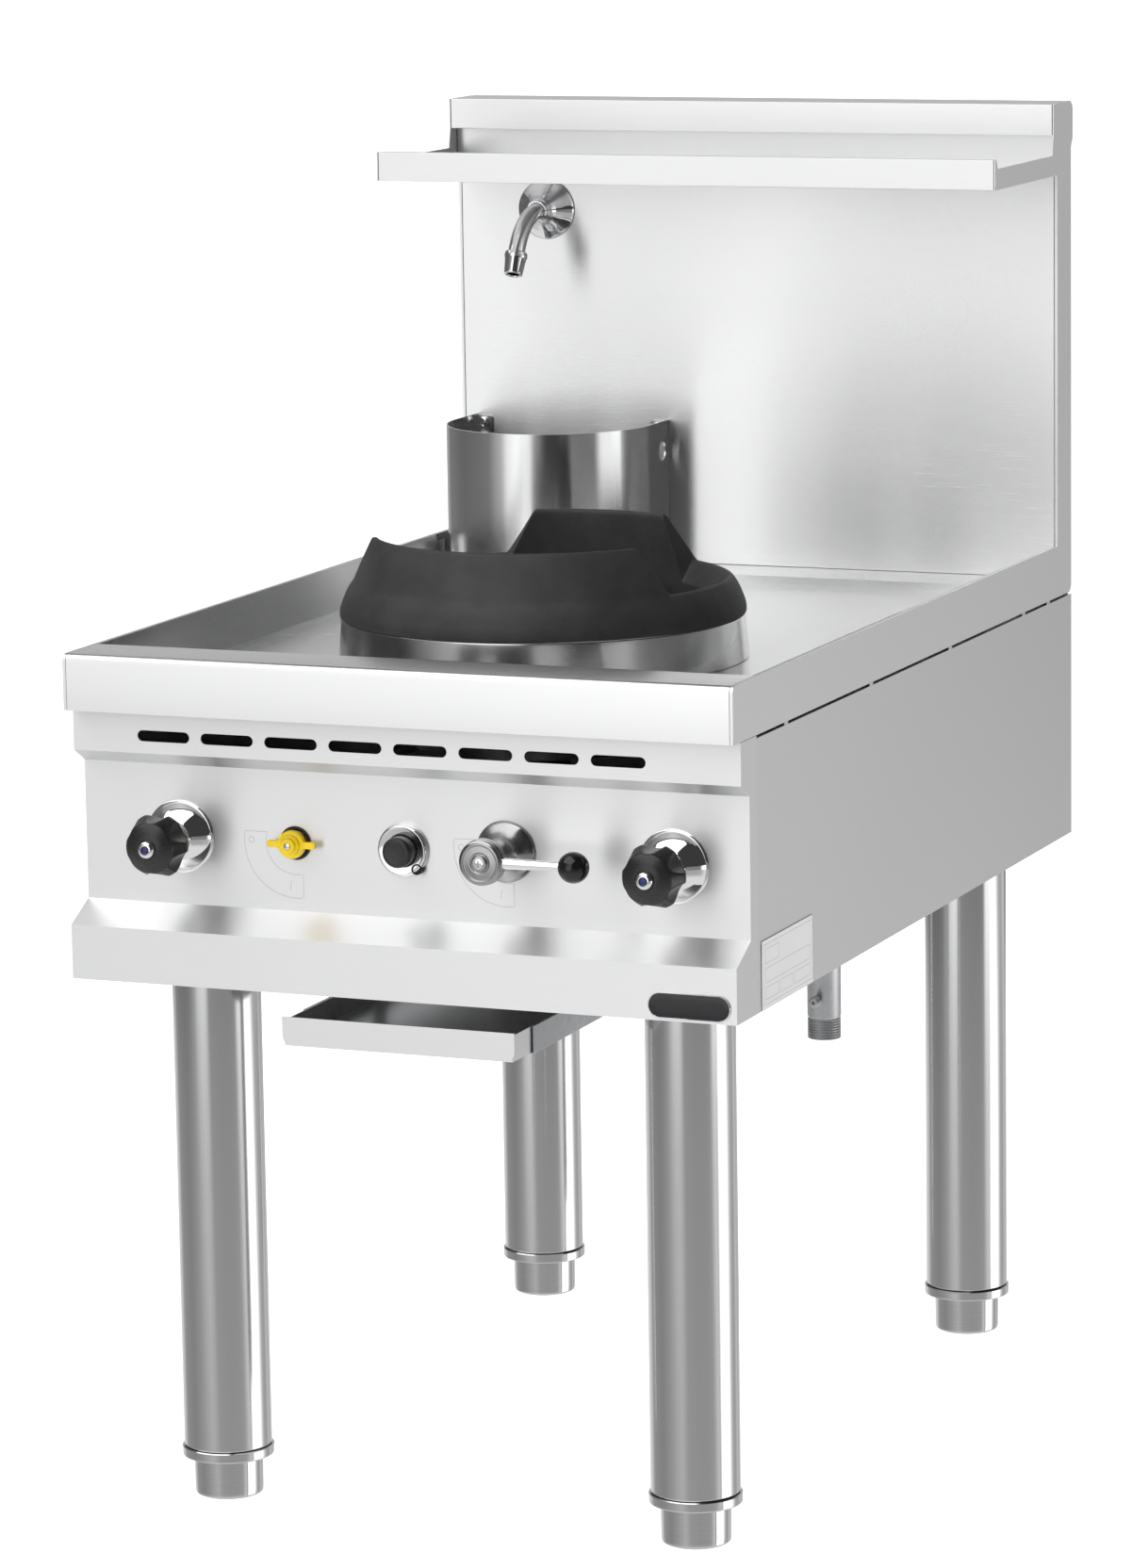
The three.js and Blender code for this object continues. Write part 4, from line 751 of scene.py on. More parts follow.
def make_water_control(side):
    """One bell with its knob, the chrome ring in the knob's face and the dot in the ring."""
    joint = joint_at[side + "_knob_turn"]
    x, z = joint[0], joint[2]
    at = on_panel(x, z)
    body = side + "_knob"
    bell = dome(BELL_RADIUS, BELL_NECK, BELL_DEPTH, SPINDLE_RADIUS + 0.3)
    turned("bell_" + side, bell, at, FORWARD, chrome, "chrome", closed=True,
           replaces=("water_bell_" + side,))
    knob_surface("knob_" + side, x, z, body, "water_knob_" + side)
    front = KNOB_BACK + KNOB_LENGTH
    ring = [(0, front - 0.8), (CAP_RING_RADIUS, front - 0.8), (CAP_RING_RADIUS, front + 0.4)]
    ring += arc(CAP_RING_RADIUS - CAP_WINDOW_RADIUS, CAP_DEPTH - 0.6, 0, math.pi / 2, 10,
                (CAP_WINDOW_RADIUS, front + 0.4))[1:]
    ring += [(CAP_WINDOW_RADIUS - 0.2, front + 2.2), (0, front + 2.2)]
    turned("cap_ring_" + side, ring, at, FORWARD, chrome, "chrome",
           steps=64, body=body, replaces=("knob_cap_" + side,))
    dot = [(0, front + 2.3), (DOT_RADIUS, front + 2.3)]
    dot += arc(DOT_RADIUS, 0.9, 0, math.pi / 2, 8, (0, front + 2.5))
    turned("cap_dot_" + side, dot, at, FORWARD, blue, "blue_plastic", steps=48, body=body)


for knob_side in ("left", "right"):
    make_water_control(knob_side)

LEVER_FRONT = 60.0
LEVER_DISC_RADIUS = 19.3
LEVER_ROD_DEPTH = 50.0
LEVER_LENGTH = 80.0
LEVER_BELL_RADIUS = 26.0
LEVER_BELL_DEPTH = 26.0
ROD_ROOT_RADIUS = 4.6
ROD_TIP_RADIUS = 3.7
BALL_RADIUS = 13.0


SCREW_RINGS = 22
SCREW_STEPS = 96


def cross_screw(name, at, axis, radius, height, body="range"):
    """A round-headed screw with a crossed recess, made as a fine polar grid."""
    turn = UP.rotation_difference(axis).to_matrix()
    arm_half, arm_reach, recess = 0.13 * radius, 0.62 * radius, 0.45 * radius
    rings = [[(0, 0, height - recess)] * SCREW_STEPS]
    for k in range(1, SCREW_RINGS + 1):
        ring = []
        for u, v in circle(radius * k / SCREW_RINGS, SCREW_STEPS):
            level = height - 0.28 * height * (k / SCREW_RINGS) ** 3
            beside = min(abs(u), abs(v))
            if beside < arm_half and max(abs(u), abs(v)) < arm_reach:
                level -= recess * min(1, (arm_half - beside) / (0.4 * arm_half))
            ring.append((u, v, level))
        rings.append(ring)
    rings.append([(u, v, 0) for u, v in circle(radius, SCREW_STEPS)])
    placed = [[at + turn @ (Vector(point) * MM) for point in ring] for ring in rings]
    lofted(name, placed, chrome, "chrome", body=body, smooth=math.radians(35))


def make_lever():
    """The flange's bell, and the hub, rod and ball that turn together."""
    joint = joint_at["gas_lever_turn"]
    at = on_panel(joint[0], joint[2])
    flange, depth = LEVER_BELL_RADIUS, LEVER_BELL_DEPTH
    bell = eased([
        (8.3, 0.3), (flange, 0.3), (flange, 2.2), (flange - 1.6, 4.0), (flange - 8, 8.4), (flange - 13, 13.5),
        (flange - 15.5, 20), (flange - 16, depth), (8.3, depth),
    ], 3.0, closed=True)
    turned("lever_bell", bell, at, FORWARD, chrome_dull, "chrome", closed=True, replaces=("lever_flange",))
    front = LEVER_FRONT
    back = front - 17
    rim = LEVER_DISC_RADIUS
    hub = eased([
        (0, 2), (8, 2), (8, back - 6), (12, back - 4), (rim - 3, back), (rim - 0.6, back + 2.4),
        (rim, back + 3.4), (rim, front - 8.6), (rim - 1.2, front - 7.6), (rim - 1.2, front - 6.4),
        (rim - 0.4, front - 5.6), (rim - 0.6, front - 4.2), (rim - 2.4, front - 3.0),
        (rim - 4.2, front - 2.7), (rim - 4.6, front - 3.4), (8.8, front - 3.0), (7.8, front - 3.6),
        (7.0, front - 3.4), (6.4, front - 1.2), (5.6, front - 0.9), (0, front - 0.9),
    ], 0.7)
    turned("lever_hub_body", hub, at, FORWARD, chrome_dull, "chrome",
           body="gas_lever", replaces=("lever_hub",))
    cross_screw("lever_hub_screw", at + FORWARD * (front - 1.0) * MM, FORWARD, 4.4, 1.0, body="gas_lever")
    start = at + FORWARD * LEVER_ROD_DEPTH * MM
    rod = eased([(0, 12), (ROD_ROOT_RADIUS, 12), (ROD_ROOT_RADIUS, 26), (ROD_TIP_RADIUS, LEVER_LENGTH - 14),
                 (ROD_TIP_RADIUS, LEVER_LENGTH - 8), (0, LEVER_LENGTH - 8)], 0.6)
    turned("lever_rod_bar", rod, start, RIGHT, chrome, "chrome", steps=48,
           body="gas_lever", replaces=("lever_rod",))
    ball = arc(BALL_RADIUS, BALL_RADIUS, -math.pi / 2, math.pi / 2, 32, (0, LEVER_LENGTH))
    turned("lever_ball_knob", ball, start, RIGHT, ball_black, "black_plastic", steps=64,
           body="gas_lever", replaces=("lever_ball",))


make_lever()

PILOT_REACH = 18.0
WING_ROOT = 7.0
WING_SPAN = 22.0
WING_HALF_HEIGHT = 3.0
WING_HALF_THICKNESS = 2.0
WING_DEPTH = 7.8
WING_TIP = 0.88
WING_SQUARENESS = 0.4


def squared(value):
    """A cosine or sine pushed out, so that a round section becomes nearly a rectangle."""
    return math.copysign(abs(value) ** WING_SQUARENESS, value)


def wing_ring(at, side, t):
    """Section of a wing at the share t of its length, smaller towards its tip."""
    end = max(0.0, (t - WING_TIP) / (1 - WING_TIP))
    height = (WING_HALF_HEIGHT - 0.5 + 0.5 * min(1, t / 0.5)) * (1 - 0.3 * end * end)
    thick = WING_HALF_THICKNESS * (1 - 0.4 * end * end)
    across = side * (WING_ROOT + (WING_SPAN - WING_ROOT) * t)
    root = at + (RIGHT * across + FORWARD * WING_DEPTH) * MM
    return [root + (UP * height * squared(s) + FORWARD * thick * squared(c)) * MM for c, s in circle(1, 24)]


def make_pilot_tap():
    """The yellow handle, its screw and two wings, and a dark ring of painted shade in the gap round it."""
    joint = joint_at["pilot_handle_turn"]
    at = on_panel(joint[0], joint[2])
    reach = PILOT_REACH
    hub = eased([(0, -6), (4.5, -6), (4.5, 3), (11, 4), (12, 5), (12, 9), (11, 10.2), (9.4, 10.4),
                 (8.8, 11.2), (8.4, 13), (7.6, 13.6), (6.6, 14), (6.4, reach - 2), (5.4, reach - 0.8),
                 (3.4, reach - 0.6), (3.0, reach - 1.6), (0, reach - 1.6)], 0.8)
    turned("pilot_handle_hub", hub, at, FORWARD, yellow, "yellow_plastic", steps=64,
           body="pilot_handle", replaces=("pilot_tap_handle",))
    cross_screw("pilot_handle_screw", at + FORWARD * (reach - 1.7) * MM, FORWARD, 2.7, 1.4,
                body="pilot_handle")
    for side, label in ((-1, "left"), (1, "right")):
        lofted("pilot_wing_" + label, [wing_ring(at, side, k / 24) for k in range(25)],
               yellow, "yellow_plastic", body="pilot_handle", smooth=math.radians(40))
    # A dark ring in the panel's hole round the handle: painted shade of the gap.
    gap_shade_ring = eased([(11.5, -1.2), (14.2, -1.2), (14.2, 0.15), (13.2, 0.35), (12.2, 0.0), (11.5, -0.3)],
                   0.2, closed=True)
    turned("pilot_hole_painted_shade", gap_shade_ring, at, FORWARD, dark_joint_and_painted_gap_shade, "black_plastic", closed=True)


make_pilot_tap()


BUTTON_RADIUS = 13.0
BUTTON_REACH = 18.0
PEEPHOLE_AT = (13.5, -15.0)
PEEPHOLE_RADIUS = 4.6


def make_igniter():
    """Bezel with a dished face, its push button, and a near-black plug at its edge that paints the peephole's
    shade.
    """
    centre, half = centre_and_half("igniter_bezel")
    at = on_panel(centre.x, centre.z)
    rim = half.x / MM
    bore = BUTTON_RADIUS + 0.3
    bezel = eased([
        (bore, 4.6), (bore + 0.5, 5.2), (rim - 3.2, 5.6), (rim - 2.0, 5.9), (rim - 0.7, 4.9), (rim, 3.2),
        (rim, 0.3), (bore + 1.5, 0.3), (bore + 1.5, -30), (bore, -30),
    ], 0.8, closed=True)
    turned("igniter_ring", bezel, at, FORWARD, chrome, "chrome", closed=True, replaces=("igniter_bezel",))
    reach = BUTTON_REACH
    button = eased([(0, -20), (BUTTON_RADIUS, -20), (BUTTON_RADIUS, reach - 2.4),
                    (BUTTON_RADIUS - 1.2, reach - 0.5), (BUTTON_RADIUS - 3, reach), (6.0, reach - 0.4),
                    (0, reach - 0.6)], 1.2)
    turned("igniter_push_button", button, at, FORWARD, black, "black_plastic", body="igniter",
           replaces=("igniter_button",))
    # The peephole is painted shade: a near-black plug stands where the real bezel has an open hole.
    hole = at + Vector((PEEPHOLE_AT[0], 0, PEEPHOLE_AT[1])) * MM
    peephole_plug = eased([(0, 0.2), (PEEPHOLE_RADIUS, 0.2), (PEEPHOLE_RADIUS, 6.4), (PEEPHOLE_RADIUS - 0.4, 6.8),
                   (PEEPHOLE_RADIUS - 1.0, 6.4), (PEEPHOLE_RADIUS - 1.3, 5.4), (0, 5.2)], 0.4)
    turned("peephole_painted_shade", peephole_plug, hole, FORWARD, painted_peephole_shade, "black_plastic", steps=48)


make_igniter()

# Engraved quadrants: two arcs with end lines, lying on the panel.
ENGRAVING_WIDTH = 0.4
ENGRAVING_HEIGHT = 0.12
SCALE_INNER, SCALE_OUTER = 27.0, 47.0
SCALE_LEFT_END, SCALE_LOW_END = 8.0, 6.5
SCALE_SPOT_AT = (-40.5, 1.0)
SCALE_SPOT_RADIUS = 2.4
SCALE_TICK_AT = math.radians(262)
SCALE_TICK = (33, 37, 41)


def engraved_line(name, points, at, closed=False):
    """A thin line on the panel through (x, z) points in millimetres from `at`."""
    path = []
    count = len(points)
    for i, point in enumerate(points):
        before = points[i - 1] if closed or i else points[i]
        after = points[(i + 1) % count] if closed or i < count - 1 else points[i]
        along = (Vector((after[0], 0, after[1])) - Vector((before[0], 0, before[1]))).normalized()
        side = along.cross(FORWARD)
        path.append((at + Vector((point[0], 0, point[1])) * MM, side, FORWARD))
    half = ENGRAVING_WIDTH * MM / 2
    rise = ENGRAVING_HEIGHT * MM
    section = [(-half, -rise / 4), (half, -rise / 4), (half * 0.5, rise), (-half * 0.5, rise)]
    return sweep(name, path, section, engraving, "brushed_stainless", closed=closed)


def scale_arc(radius, outward):
    """An arc of the quadrant between its two end lines, from the left down or back up."""
    ends = [math.pi - math.asin(SCALE_LEFT_END / radius), 1.5 * math.pi + math.asin(SCALE_LOW_END / radius)]
    start, end = ends if outward else reversed(ends)
    return arc(radius, radius, start, end, 32)


def quadrant(x, z, label):
    at = on_panel(x, z)
    outline = scale_arc(SCALE_OUTER, True) + scale_arc(SCALE_INNER, False)
    engraved_line("scale_outline_" + label, outline, at, closed=True)
    spot = arc(SCALE_SPOT_RADIUS, SCALE_SPOT_RADIUS, 0, 2 * math.pi, 20, SCALE_SPOT_AT)[:-1]
    engraved_line("scale_spot_" + label, spot, at, closed=True)
    tick = [(reach * math.cos(SCALE_TICK_AT), reach * math.sin(SCALE_TICK_AT)) for reach in SCALE_TICK]
    engraved_line("scale_tick_" + label, tick, at)


for scale_joint, scale_label in (("pilot_handle_turn", "pilot"), ("gas_lever_turn", "lever")):
    quadrant(joint_at[scale_joint][0], joint_at[scale_joint][2], scale_label)

# ---------------------------------------------------------------- tap

SPOUT_RADIUS = 8.0
SPOUT_BEND = 60.0
SPOUT_TURN = math.radians(65)
SPOUT_STEPS = 28
TAP_BELL_DEPTH = 22.0


def make_tap():
    """The bell on the splash panel, the collar ring, the bent spout and its nozzle."""
    centre, half = centre_and_half("tap_escutcheon")
    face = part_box("tap_escutcheon")[1].y + 0.3 * MM
    at = Vector((centre.x, face, centre.z))
    flange = half.x / MM
    bell = eased([
        (8.3, 0.3), (flange, 0.3), (flange, 1.8), (flange - 1.2, 3.4), (flange - 8, 8.6), (flange - 14, 14.4),
        (flange - 16.5, 18.4), (flange - 17, 21.7), (8.3, 21.7),
    ], 1.6, closed=True)
    turned("tap_bell", bell, at, FORWARD, chrome, "chrome", closed=True, replaces=("tap_escutcheon",))
    nut = eased([(8.2, 21.9), (10.6, 21.9), (10.6, 26.4), (9.8, 27.4), (8.2, 27.4)], 0.5, closed=True)
    turned("tap_collar_ring", nut, at, FORWARD, chrome, "chrome", closed=True)
    path = [(at + FORWARD * depth * MM, UP) for depth in (0.6, 6, 12, 18, TAP_BELL_DEPTH)]
    for k in range(1, SPOUT_STEPS + 1):
        turn = SPOUT_TURN * k / SPOUT_STEPS
        ahead = TAP_BELL_DEPTH + SPOUT_BEND * math.sin(turn)
        drop = SPOUT_BEND * (1 - math.cos(turn))
        path.append((at + (FORWARD * ahead - UP * drop) * MM, UP * math.cos(turn) + FORWARD * math.sin(turn)))
    bore = SPOUT_RADIUS - 2
    rings = [[point + RIGHT * u + up * v for u, v in circle(radius * MM, 40)]
             for radius, way in ((SPOUT_RADIUS, path), (bore, path[::-1])) for point, up in way]
    lofted("tap_pipe", rings, chrome, "chrome", True, True, replaces=("tap_spout",))
    end, end_up = path[-1]
    direction = RIGHT.cross(end_up).normalized()
    nozzle = eased([
        (bore, 0.3), (9.6, 0.3), (10.8, 1.2), (11.0, 4.8), (10.2, 6.4), (8.8, 21.6), (8.2, 22.6), (6.6, 22.6),
        (bore, 21.6),
    ], 0.7, closed=True)
    turned("tap_nozzle_tip", nozzle, end, direction, chrome, "chrome", closed=True, replaces=("tap_nozzle",))


make_tap()

# ---------------------------------------------------------------- guard

GUARD_SHEET = 1.5
GUARD_HOLE_RADIUS = 9.0
GUARD_HOLE_SETBACK = 17.0
GUARD_HOLE_DROP = 28.0
GUARD_SIDE_STEPS = 26
GUARD_ARC_STEPS = 72
GUARD_LEVELS = 36
GUARD_TAB_INSET = 10.0
GUARD_TAB_DROP = 7.0
GUARD_TAB_FACE = 1.8
LEDGE_DEPTH = 62.0
LEDGE_RISE = 8.0


def drill(piece, at, axis, radius, length):
    """Cuts a round hole through the piece, along the axis."""
    cutter_mesh = bpy.data.meshes.new("hole_cutter")
    build = bmesh.new()
    spin = UP.rotation_difference(axis).to_matrix().to_4x4()
    bmesh.ops.create_cone(build, cap_ends=True, segments=48, radius1=radius, radius2=radius, depth=length,
                          matrix=Matrix.Translation(at) @ spin)
    build.to_mesh(cutter_mesh)
    build.free()
    cutter = bpy.data.objects.new("hole_cutter", cutter_mesh)
    bpy.context.scene.collection.objects.link(cutter)
    cut = piece.modifiers.new("hole", "BOOLEAN")
    cut.operation = "DIFFERENCE"
    cut.object = cutter
    cut.solver = "EXACT"
    bpy.context.view_layer.update()
    depsgraph = bpy.context.evaluated_depsgraph_get()
    final = bpy.data.meshes.new_from_object(piece.evaluated_get(depsgraph))
    piece.modifiers.clear()
    piece.data = final
    piece.data.shade_smooth()
    piece.data.set_sharp_from_angle(angle=SMOOTH_BELOW)
    bpy.data.objects.remove(cutter)


def make_guard():
    """Half-round sheet with straight sides, its lower edge cut to stand on the rear ledge."""
    low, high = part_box("drain_guard")
    half = (high.x - low.x) / 2
    middle = (high.x + low.x) / 2
    turn_y = low.y + half
    side_reach = high.y - turn_y
    shares = [k / GUARD_SIDE_STEPS for k in range(GUARD_SIDE_STEPS + 1)]
    line = [(Vector((low.x, high.y - side_reach * share, 0)), -RIGHT) for share in shares[:-1]]
    for u, v in arc(1, 1, math.pi, 2 * math.pi, GUARD_ARC_STEPS):
        out = Vector((u, v, 0))
        line.append((Vector((middle, turn_y, 0)) + out * half, out))
    line += [(Vector((high.x, turn_y + side_reach * share, 0)), RIGHT) for share in shares[1:]]
    rings = []
    for point, out in line:
        foot = low.z + (LEDGE_RISE * MM if point.y > high.y - LEDGE_DEPTH * MM else 0)
        heights = [foot + (high.z - foot) * k / GUARD_LEVELS for k in range(GUARD_LEVELS + 1)]
        inner = point - out * GUARD_SHEET * MM
        rings.append([point + UP * z for z in heights] + [inner + UP * z for z in reversed(heights)])
    guard = lofted("waste_guard", rings, steel_guard, "polished_stainless", replaces=("drain_guard",))
    hole_at = Vector((middle, high.y - GUARD_HOLE_SETBACK * MM, high.z - GUARD_HOLE_DROP * MM))
    drill(guard, hole_at, RIGHT, GUARD_HOLE_RADIUS * MM, 4 * half)
    tab = eased([(-8.4, -9), (8.4, -9), (8.4, 5.5), (-8.4, 5.5)], 2.5, closed=True)
    for side, label in ((-1, "left"), (1, "right")):
        at = Vector((middle + side * (half - GUARD_TAB_INSET * MM), high.y, high.z - GUARD_TAB_DROP * MM))
        rings = [[at + (RIGHT * u + UP * v + FORWARD * depth) * MM for u, v in tab]
                 for depth in (0.3, GUARD_TAB_FACE)]
        lofted("guard_tab_" + label, rings, steel_guard, "polished_stainless")
        cross_screw("guard_screw_" + label, at + FORWARD * GUARD_TAB_FACE * MM, FORWARD, 4.6, 3.2)


make_guard()

# ---------------------------------------------------------------- gas pipe

THREAD_PITCH = 2.3
THREAD_DEPTH = 0.9
THREAD_LENGTH = 20.0
THREAD_PROFILE = ((0.0, THREAD_DEPTH), (0.35, 0.15), (0.5, 0.15), (0.9, THREAD_DEPTH))
PIPE_BEND = 38.0
PIPE_WALL = 3.0


def make_gas_pipe():
    """The inlet pipe below the body, with its thread, and its elbow to the manifold inside."""
    low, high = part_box("gas_inlet_pipe")
    middle_x = (low.x + high.x) / 2
    radius = (high.x - low.x) / 2 / MM
    pipe_y = high.y - radius * MM
    manifold_z = high.z - radius * MM
    base = Vector((middle_x, pipe_y, low.z))
    corner = Vector((middle_x, pipe_y, manifold_z))
    inner_end = Vector((middle_x, low.y, manifold_z))
    bend_start = corner - UP * PIPE_BEND * MM
    stations = [(base + UP * (k + share) * THREAD_PITCH * MM, -FORWARD, radius - cut)
                for k in range(int(THREAD_LENGTH / THREAD_PITCH)) for share, cut in THREAD_PROFILE]
    stations += [(base + UP * (THREAD_LENGTH + 1) * MM, -FORWARD, radius), (bend_start, -FORWARD, radius)]
    for k in range(1, 13):
        turn = math.pi / 2 * k / 12
        out = -FORWARD * math.cos(turn) + UP * math.sin(turn)
        stations.append((bend_start + (FORWARD + out) * PIPE_BEND * MM, out, radius))
    stations += [
        (inner_end, UP, radius),
        (inner_end, UP, radius - PIPE_WALL),
        (inner_end - FORWARD * 10 * MM, UP, radius - PIPE_WALL),
        (bend_start, -FORWARD, radius - PIPE_WALL - 0.2),
        (base, -FORWARD, radius - PIPE_WALL),
    ]
    rings = [[point + RIGHT * u + up * v for u, v in circle(reach * MM, 64)] for point, up, reach in stations]
    lofted("gas_pipe", rings, zinc, "galvanised_steel", True, True,
           replaces=("gas_inlet_pipe",), smooth=math.radians(25))


def make_nipple():
    low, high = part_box("test_nipple")
    at = Vector(((low.x + high.x) / 2, high.y, (low.z + high.z) / 2))
    profile = eased([(0, 0), (3.6, 0), (3.6, 3), (5, 3.4), (5, 7.2), (3.4, 8), (3.4, 9.4), (4.4, 10),
                     (4.4, 11.2), (3.4, 12), (1.6, 12), (1.4, 9), (0, 9)], 0.4)
    turned("gas_test_nipple", profile, at, FORWARD, zinc, "galvanised_steel",
           steps=48, replaces=("test_nipple",))


make_gas_pipe()
make_nipple()

# ---------------------------------------------------------------- badge and plate


def rounded_outline(half_width, half_height, radius):
    """Rectangle with round corners, from the right corner at the top, anticlockwise."""
    points = []
    for quarter, (side, rise) in enumerate(((1, 1), (-1, 1), (-1, -1), (1, -1))):
        centre = (side * (half_width - radius), rise * (half_height - radius))
        points += arc(radius, radius, quarter * math.pi / 2, (quarter + 1) * math.pi / 2, 10, centre)
    return points


BADGE_LAYERS = (
    ("badge_rim", ((0, 0), (0, 0.7), (0.3, 1.1), (0.8, 1.1), (1.1, 0.8)), chrome, "chrome",
     {"replaces": ("badge_plate",)}),
    ("badge_face", ((1.0, 0.5), (1.0, 1.0), (1.8, 1.15), (5.0, 1.2)), badge_black, "badge_black", {}),
)


def make_badge():
    """Plain badge: a chrome rim and a black face, each built of (inset, depth) layers."""
    centre, half = centre_and_half("badge_plate")
    at = Vector((centre.x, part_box("badge_plate")[1].y, centre.z))
    half_width, half_height = half.x / MM, half.z / MM
    for name, layers, material, slot, tie in BADGE_LAYERS:
        rings = []
        for inset, depth in layers:
            corner = half_height - inset - 0.01
            outline = rounded_outline(half_width - inset, half_height - inset, corner)
            rings.append([at + (RIGHT * u + UP * v + FORWARD * depth) * MM for u, v in outline])
        lofted(name, rings, material, slot, **tie)


make_badge()

# Empty boxes of the form on the rating plate, (y, z) from its lower front corner: an outline first.
PLATE_BOXES = (
    ((4, 4), (118, 54)),
    ((8, 38), (40, 50)),
    ((8, 22), (114, 34)),
    ((8, 8), (38, 18)),
    ((42, 8), (72, 18)),
    ((76, 8), (114, 18)),
)
PLATE_LINE_HALF = 0.15


def make_plate_lines():
    low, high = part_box("rating_plate")
    corner = Vector((high.x, low.y, low.z))
    section = [(-PLATE_LINE_HALF * MM, -0.05 * MM), (PLATE_LINE_HALF * MM, -0.05 * MM),
               (PLATE_LINE_HALF * MM, 0.03 * MM), (-PLATE_LINE_HALF * MM, 0.03 * MM)]
    for i, box in enumerate(PLATE_BOXES):
        path = []
        for right, top in ((0, 0), (1, 0), (1, 1), (0, 1)):
            point = corner + Vector((0, box[right][0], box[top][1])) * MM
            path.append((point, Vector((0, 2 * right - 1, 2 * top - 1)), RIGHT))
        sweep("plate_box_" + str(i + 1), path, section, engraving, "blank_plate", closed=True)


make_plate_lines()

# ---------------------------------------------------------------- stage and light

FLOOR_REACH = 60.0
DOME_RADIUS = 55.0


def glowing(look):
    look.set("Emission Color", (1, 1, 1, 1))
    look.set("Emission Strength", 1.0)
    return look.material


def make_stage():
    """A pale floor and a white backdrop that only the camera sees."""
    bpy.ops.mesh.primitive_plane_add(size=2 * FLOOR_REACH)
    floor = bpy.context.object
    floor.name = "floor"
    look = Look("floor_white", (0.93, 0.93, 0.93), 0.85)
    look.set("Base Color", look.blend(look.noise(1.5), (0.925, 0.925, 0.925), (0.935, 0.935, 0.935)))
    floor.data.materials.append(glowing(look))
    floor.visible_glossy = False
    bpy.ops.mesh.primitive_uv_sphere_add(segments=32, ring_count=16, radius=DOME_RADIUS)
    backdrop = bpy.context.object
    backdrop.name = "backdrop"
    backdrop.data.materials.append(glowing(Look("backdrop_pale", (0, 0, 0), 0.5)))
    backdrop.visible_diffuse = False
    backdrop.visible_glossy = False
    backdrop.visible_transmission = False
    backdrop.visible_shadow = False


# Brightness of the studio by compass angle, (degrees from +X, level). The wall below and above
# eye level shares its part in front of the range and its part behind it.
FRONT_BANDS = (
    (-180, 0.13), (-141, 0.16), (-124, 0.6), (-119, 1.2), (-113, 1.45), (-108, 1.6), (-99, 1.6), (-93, 1.4),
)
REAR_BANDS = ((100, 0.66), (125, 0.6), (145, 0.2), (180, 0.13))
WALL_BANDS = FRONT_BANDS + (
    (-87, 0.3), (-60, 0.26), (-30, 0.24), (-20, 0.26), (-12, 2.0), (22, 2.0), (30, 0.5), (48, 0.6),
    (60, 0.85), (68, 0.95), (71, 0.6), (74, 0.2), (82, 0.25), (90, 0.35),
) + REAR_BANDS
UPPER_BANDS = FRONT_BANDS + ((-84, 1.0), (-76, 0.05), (50, 0.05), (60, 0.5)) + REAR_BANDS
GROUND_BANDS = (
    (-180, 0.4), (-157, 0.36), (-135, 0.45), (-103, 0.64), (-85, 0.48), (-57, 0.45), (-33, 0.46), (-18, 0.5),
    (-9, 0.75), (-5, 0.9), (-2, 0.5), (1, 0.5), (3, 2.2), (29, 2.2), (37, 1.0), (46, 0.55), (58, 0.5),
    (68, 0.85), (71, 0.75), (75, 0.5), (82, 0.7), (100, 0.95), (140, 0.95), (152, 0.8), (165, 0.45),
    (180, 0.4),
)
CEILING_BANDS = ((-180, 0.22), (-95, 0.22), (-80, 0.05), (45, 0.05), (60, 0.22), (180, 0.22))
ZENITH_LEVEL = 0.04
LEVEL_TOP = 2.4
STUDIO_LEVEL = 0.884
NEAR_GROUND_LEVEL = 0.85
SOFTBOX_DIRECTION = (math.radians(-126), math.radians(58))
SOFTBOX_HALF_SIZE = (0.66, 0.46)
SOFTBOX_LEVEL = 2.2


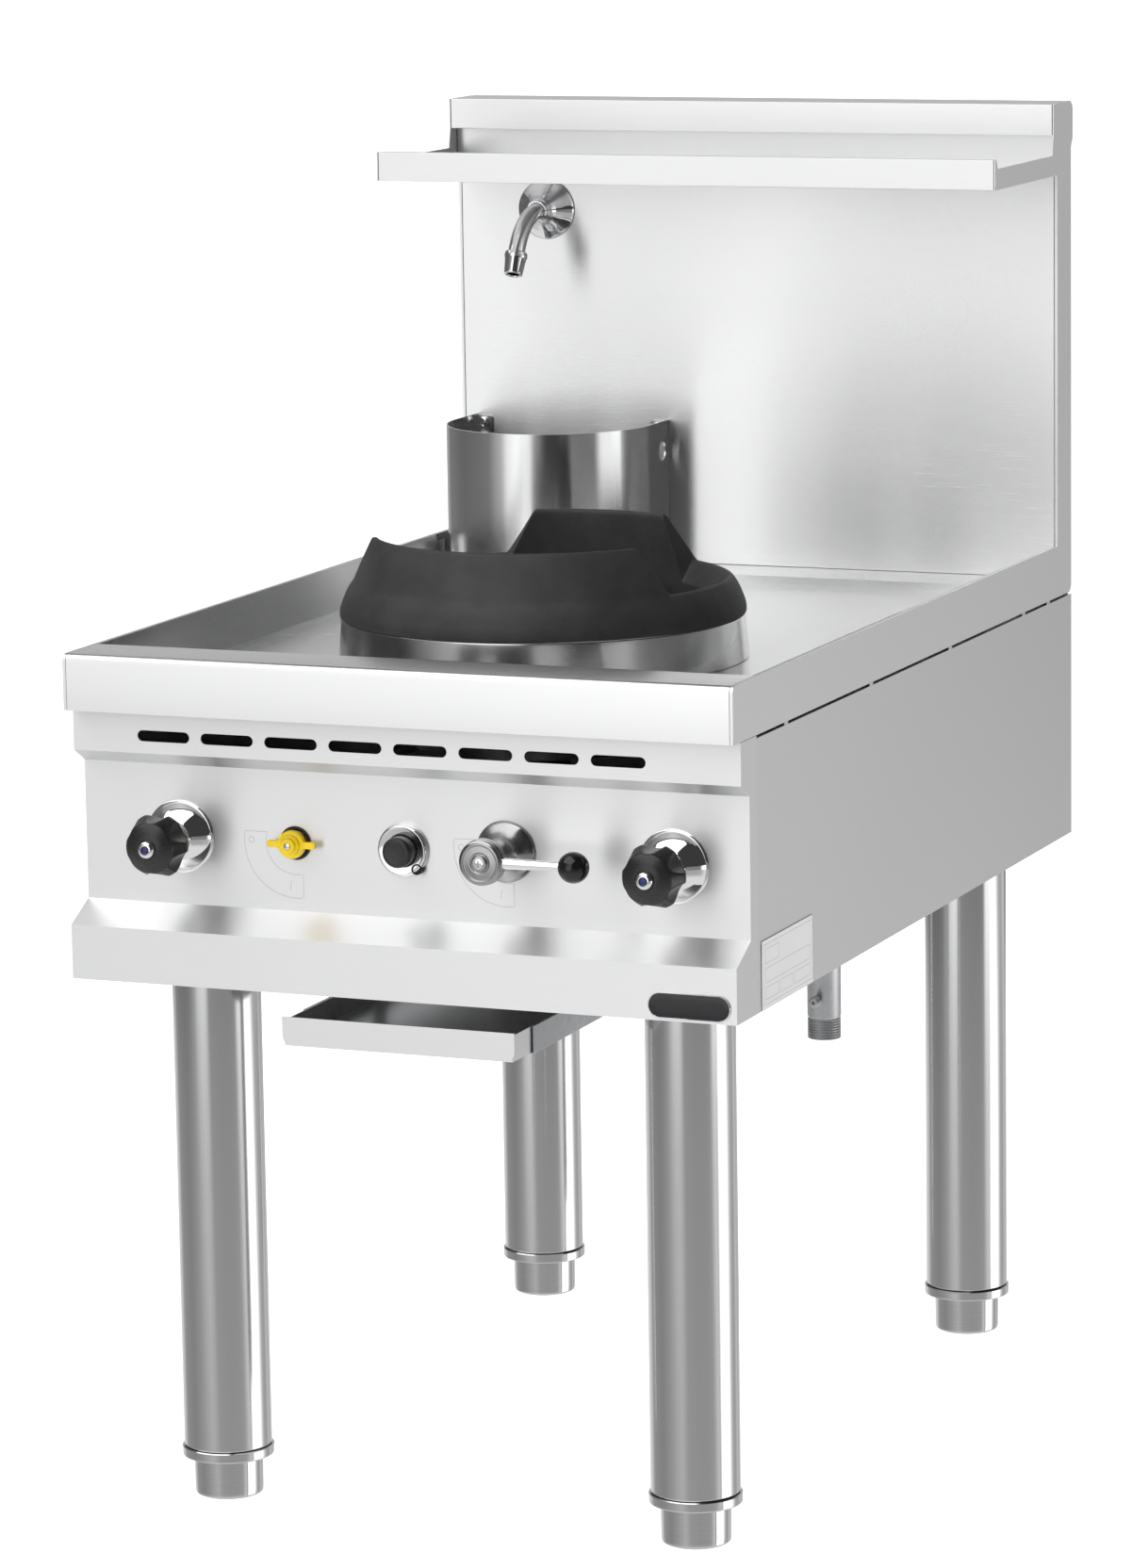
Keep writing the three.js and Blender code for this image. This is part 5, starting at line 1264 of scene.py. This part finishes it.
class Sky(Tree):
    """The world's node tree: brightness by direction."""

    def __init__(self):
        self.world = bpy.data.worlds.new("studio")
        super().__init__(self.world)
        self.direction = self.tree.nodes.new("ShaderNodeTexCoord").outputs["Generated"]

    def math(self, operation, *values):
        return self.node("ShaderNodeMath", dict(enumerate(values)), operation=operation)

    def along(self, vector):
        return self.node("ShaderNodeVectorMath", {0: self.direction, 1: vector}, "Value",
                         operation="DOT_PRODUCT")

    def step(self, value, low, high):
        inputs = {"Value": value, "From Min": low, "From Max": high}
        result = self.node("ShaderNodeMapRange", inputs, "Result")
        result.node.interpolation_type = "SMOOTHSTEP"
        return result

    def mix(self, factor, first, second):
        inputs = {"Factor": factor, "A": first, "B": second}
        return self.node("ShaderNodeMix", inputs, "Result", data_type="FLOAT")

    def bands(self, table):
        """Brightness all round, from a table of (degrees, level)."""
        around = self.node("ShaderNodeTexGradient", {"Vector": self.direction}, "Fac")
        around.node.gradient_type = "RADIAL"
        lit = self.node("ShaderNodeValToRGB", {"Fac": around}, "Color")
        ramp = lit.node.color_ramp
        ramp.elements.remove(ramp.elements[-1])
        for i, (degrees, level) in enumerate(table):
            position = (degrees + 180) / 360
            element = ramp.elements[0] if i == 0 else ramp.elements.new(position)
            element.position = position
            element.color = (level / LEVEL_TOP,) * 3 + (1,)
        return self.math("MULTIPLY", lit, LEVEL_TOP)

    def softbox(self, azimuth, elevation, half_width, half_height):
        """1 inside a rectangle that stands square to the given direction, 0 outside."""
        facing = Vector((math.cos(elevation) * math.cos(azimuth), math.cos(elevation) * math.sin(azimuth),
                         math.sin(elevation)))
        side = facing.cross(UP).normalized()
        rise = side.cross(facing)
        ahead = self.along(facing)
        safe = self.math("MAXIMUM", ahead, 0.01)
        across = self.math("ABSOLUTE", self.math("DIVIDE", self.along(side), safe))
        upward = self.math("ABSOLUTE", self.math("DIVIDE", self.along(rise), safe))
        inside = self.math("MULTIPLY", self.step(across, half_width + 0.03, half_width - 0.03),
                           self.step(upward, half_height + 0.03, half_height - 0.03))
        return self.math("MULTIPLY", inside, self.step(ahead, 0.02, 0.1))


def make_world():
    """Plain soft studio: pale walls with darker gaps, a softbox high in front and a pale ground."""
    sky = Sky()
    height = sky.along((0, 0, 1))
    wall = sky.bands(WALL_BANDS)
    ground = sky.bands(GROUND_BANDS)
    wall = sky.mix(sky.step(height, -0.07, -0.02), wall, sky.bands(UPPER_BANDS))
    upper = sky.mix(sky.step(height, 0.4, 0.55), wall, sky.bands(CEILING_BANDS))
    upper = sky.mix(sky.step(height, 0.74, 0.82), upper, ZENITH_LEVEL)
    level = sky.mix(sky.step(height, -0.215, -0.19), ground, upper)
    level = sky.mix(sky.step(height, -0.55, -0.35), NEAR_GROUND_LEVEL, level)
    box = sky.softbox(*SOFTBOX_DIRECTION, *SOFTBOX_HALF_SIZE)
    level = sky.math("MULTIPLY", sky.mix(box, level, SOFTBOX_LEVEL), STUDIO_LEVEL)
    background = sky.tree.nodes["Background"]
    background.inputs["Color"].default_value = (1, 1, 1, 1)
    sky.tree.links.new(level, background.inputs["Strength"])
    bpy.context.scene.world = sky.world


make_stage()
make_world()

bpy.context.scene.view_settings.view_transform = "Standard"
bpy.context.scene.view_settings.look = "None"
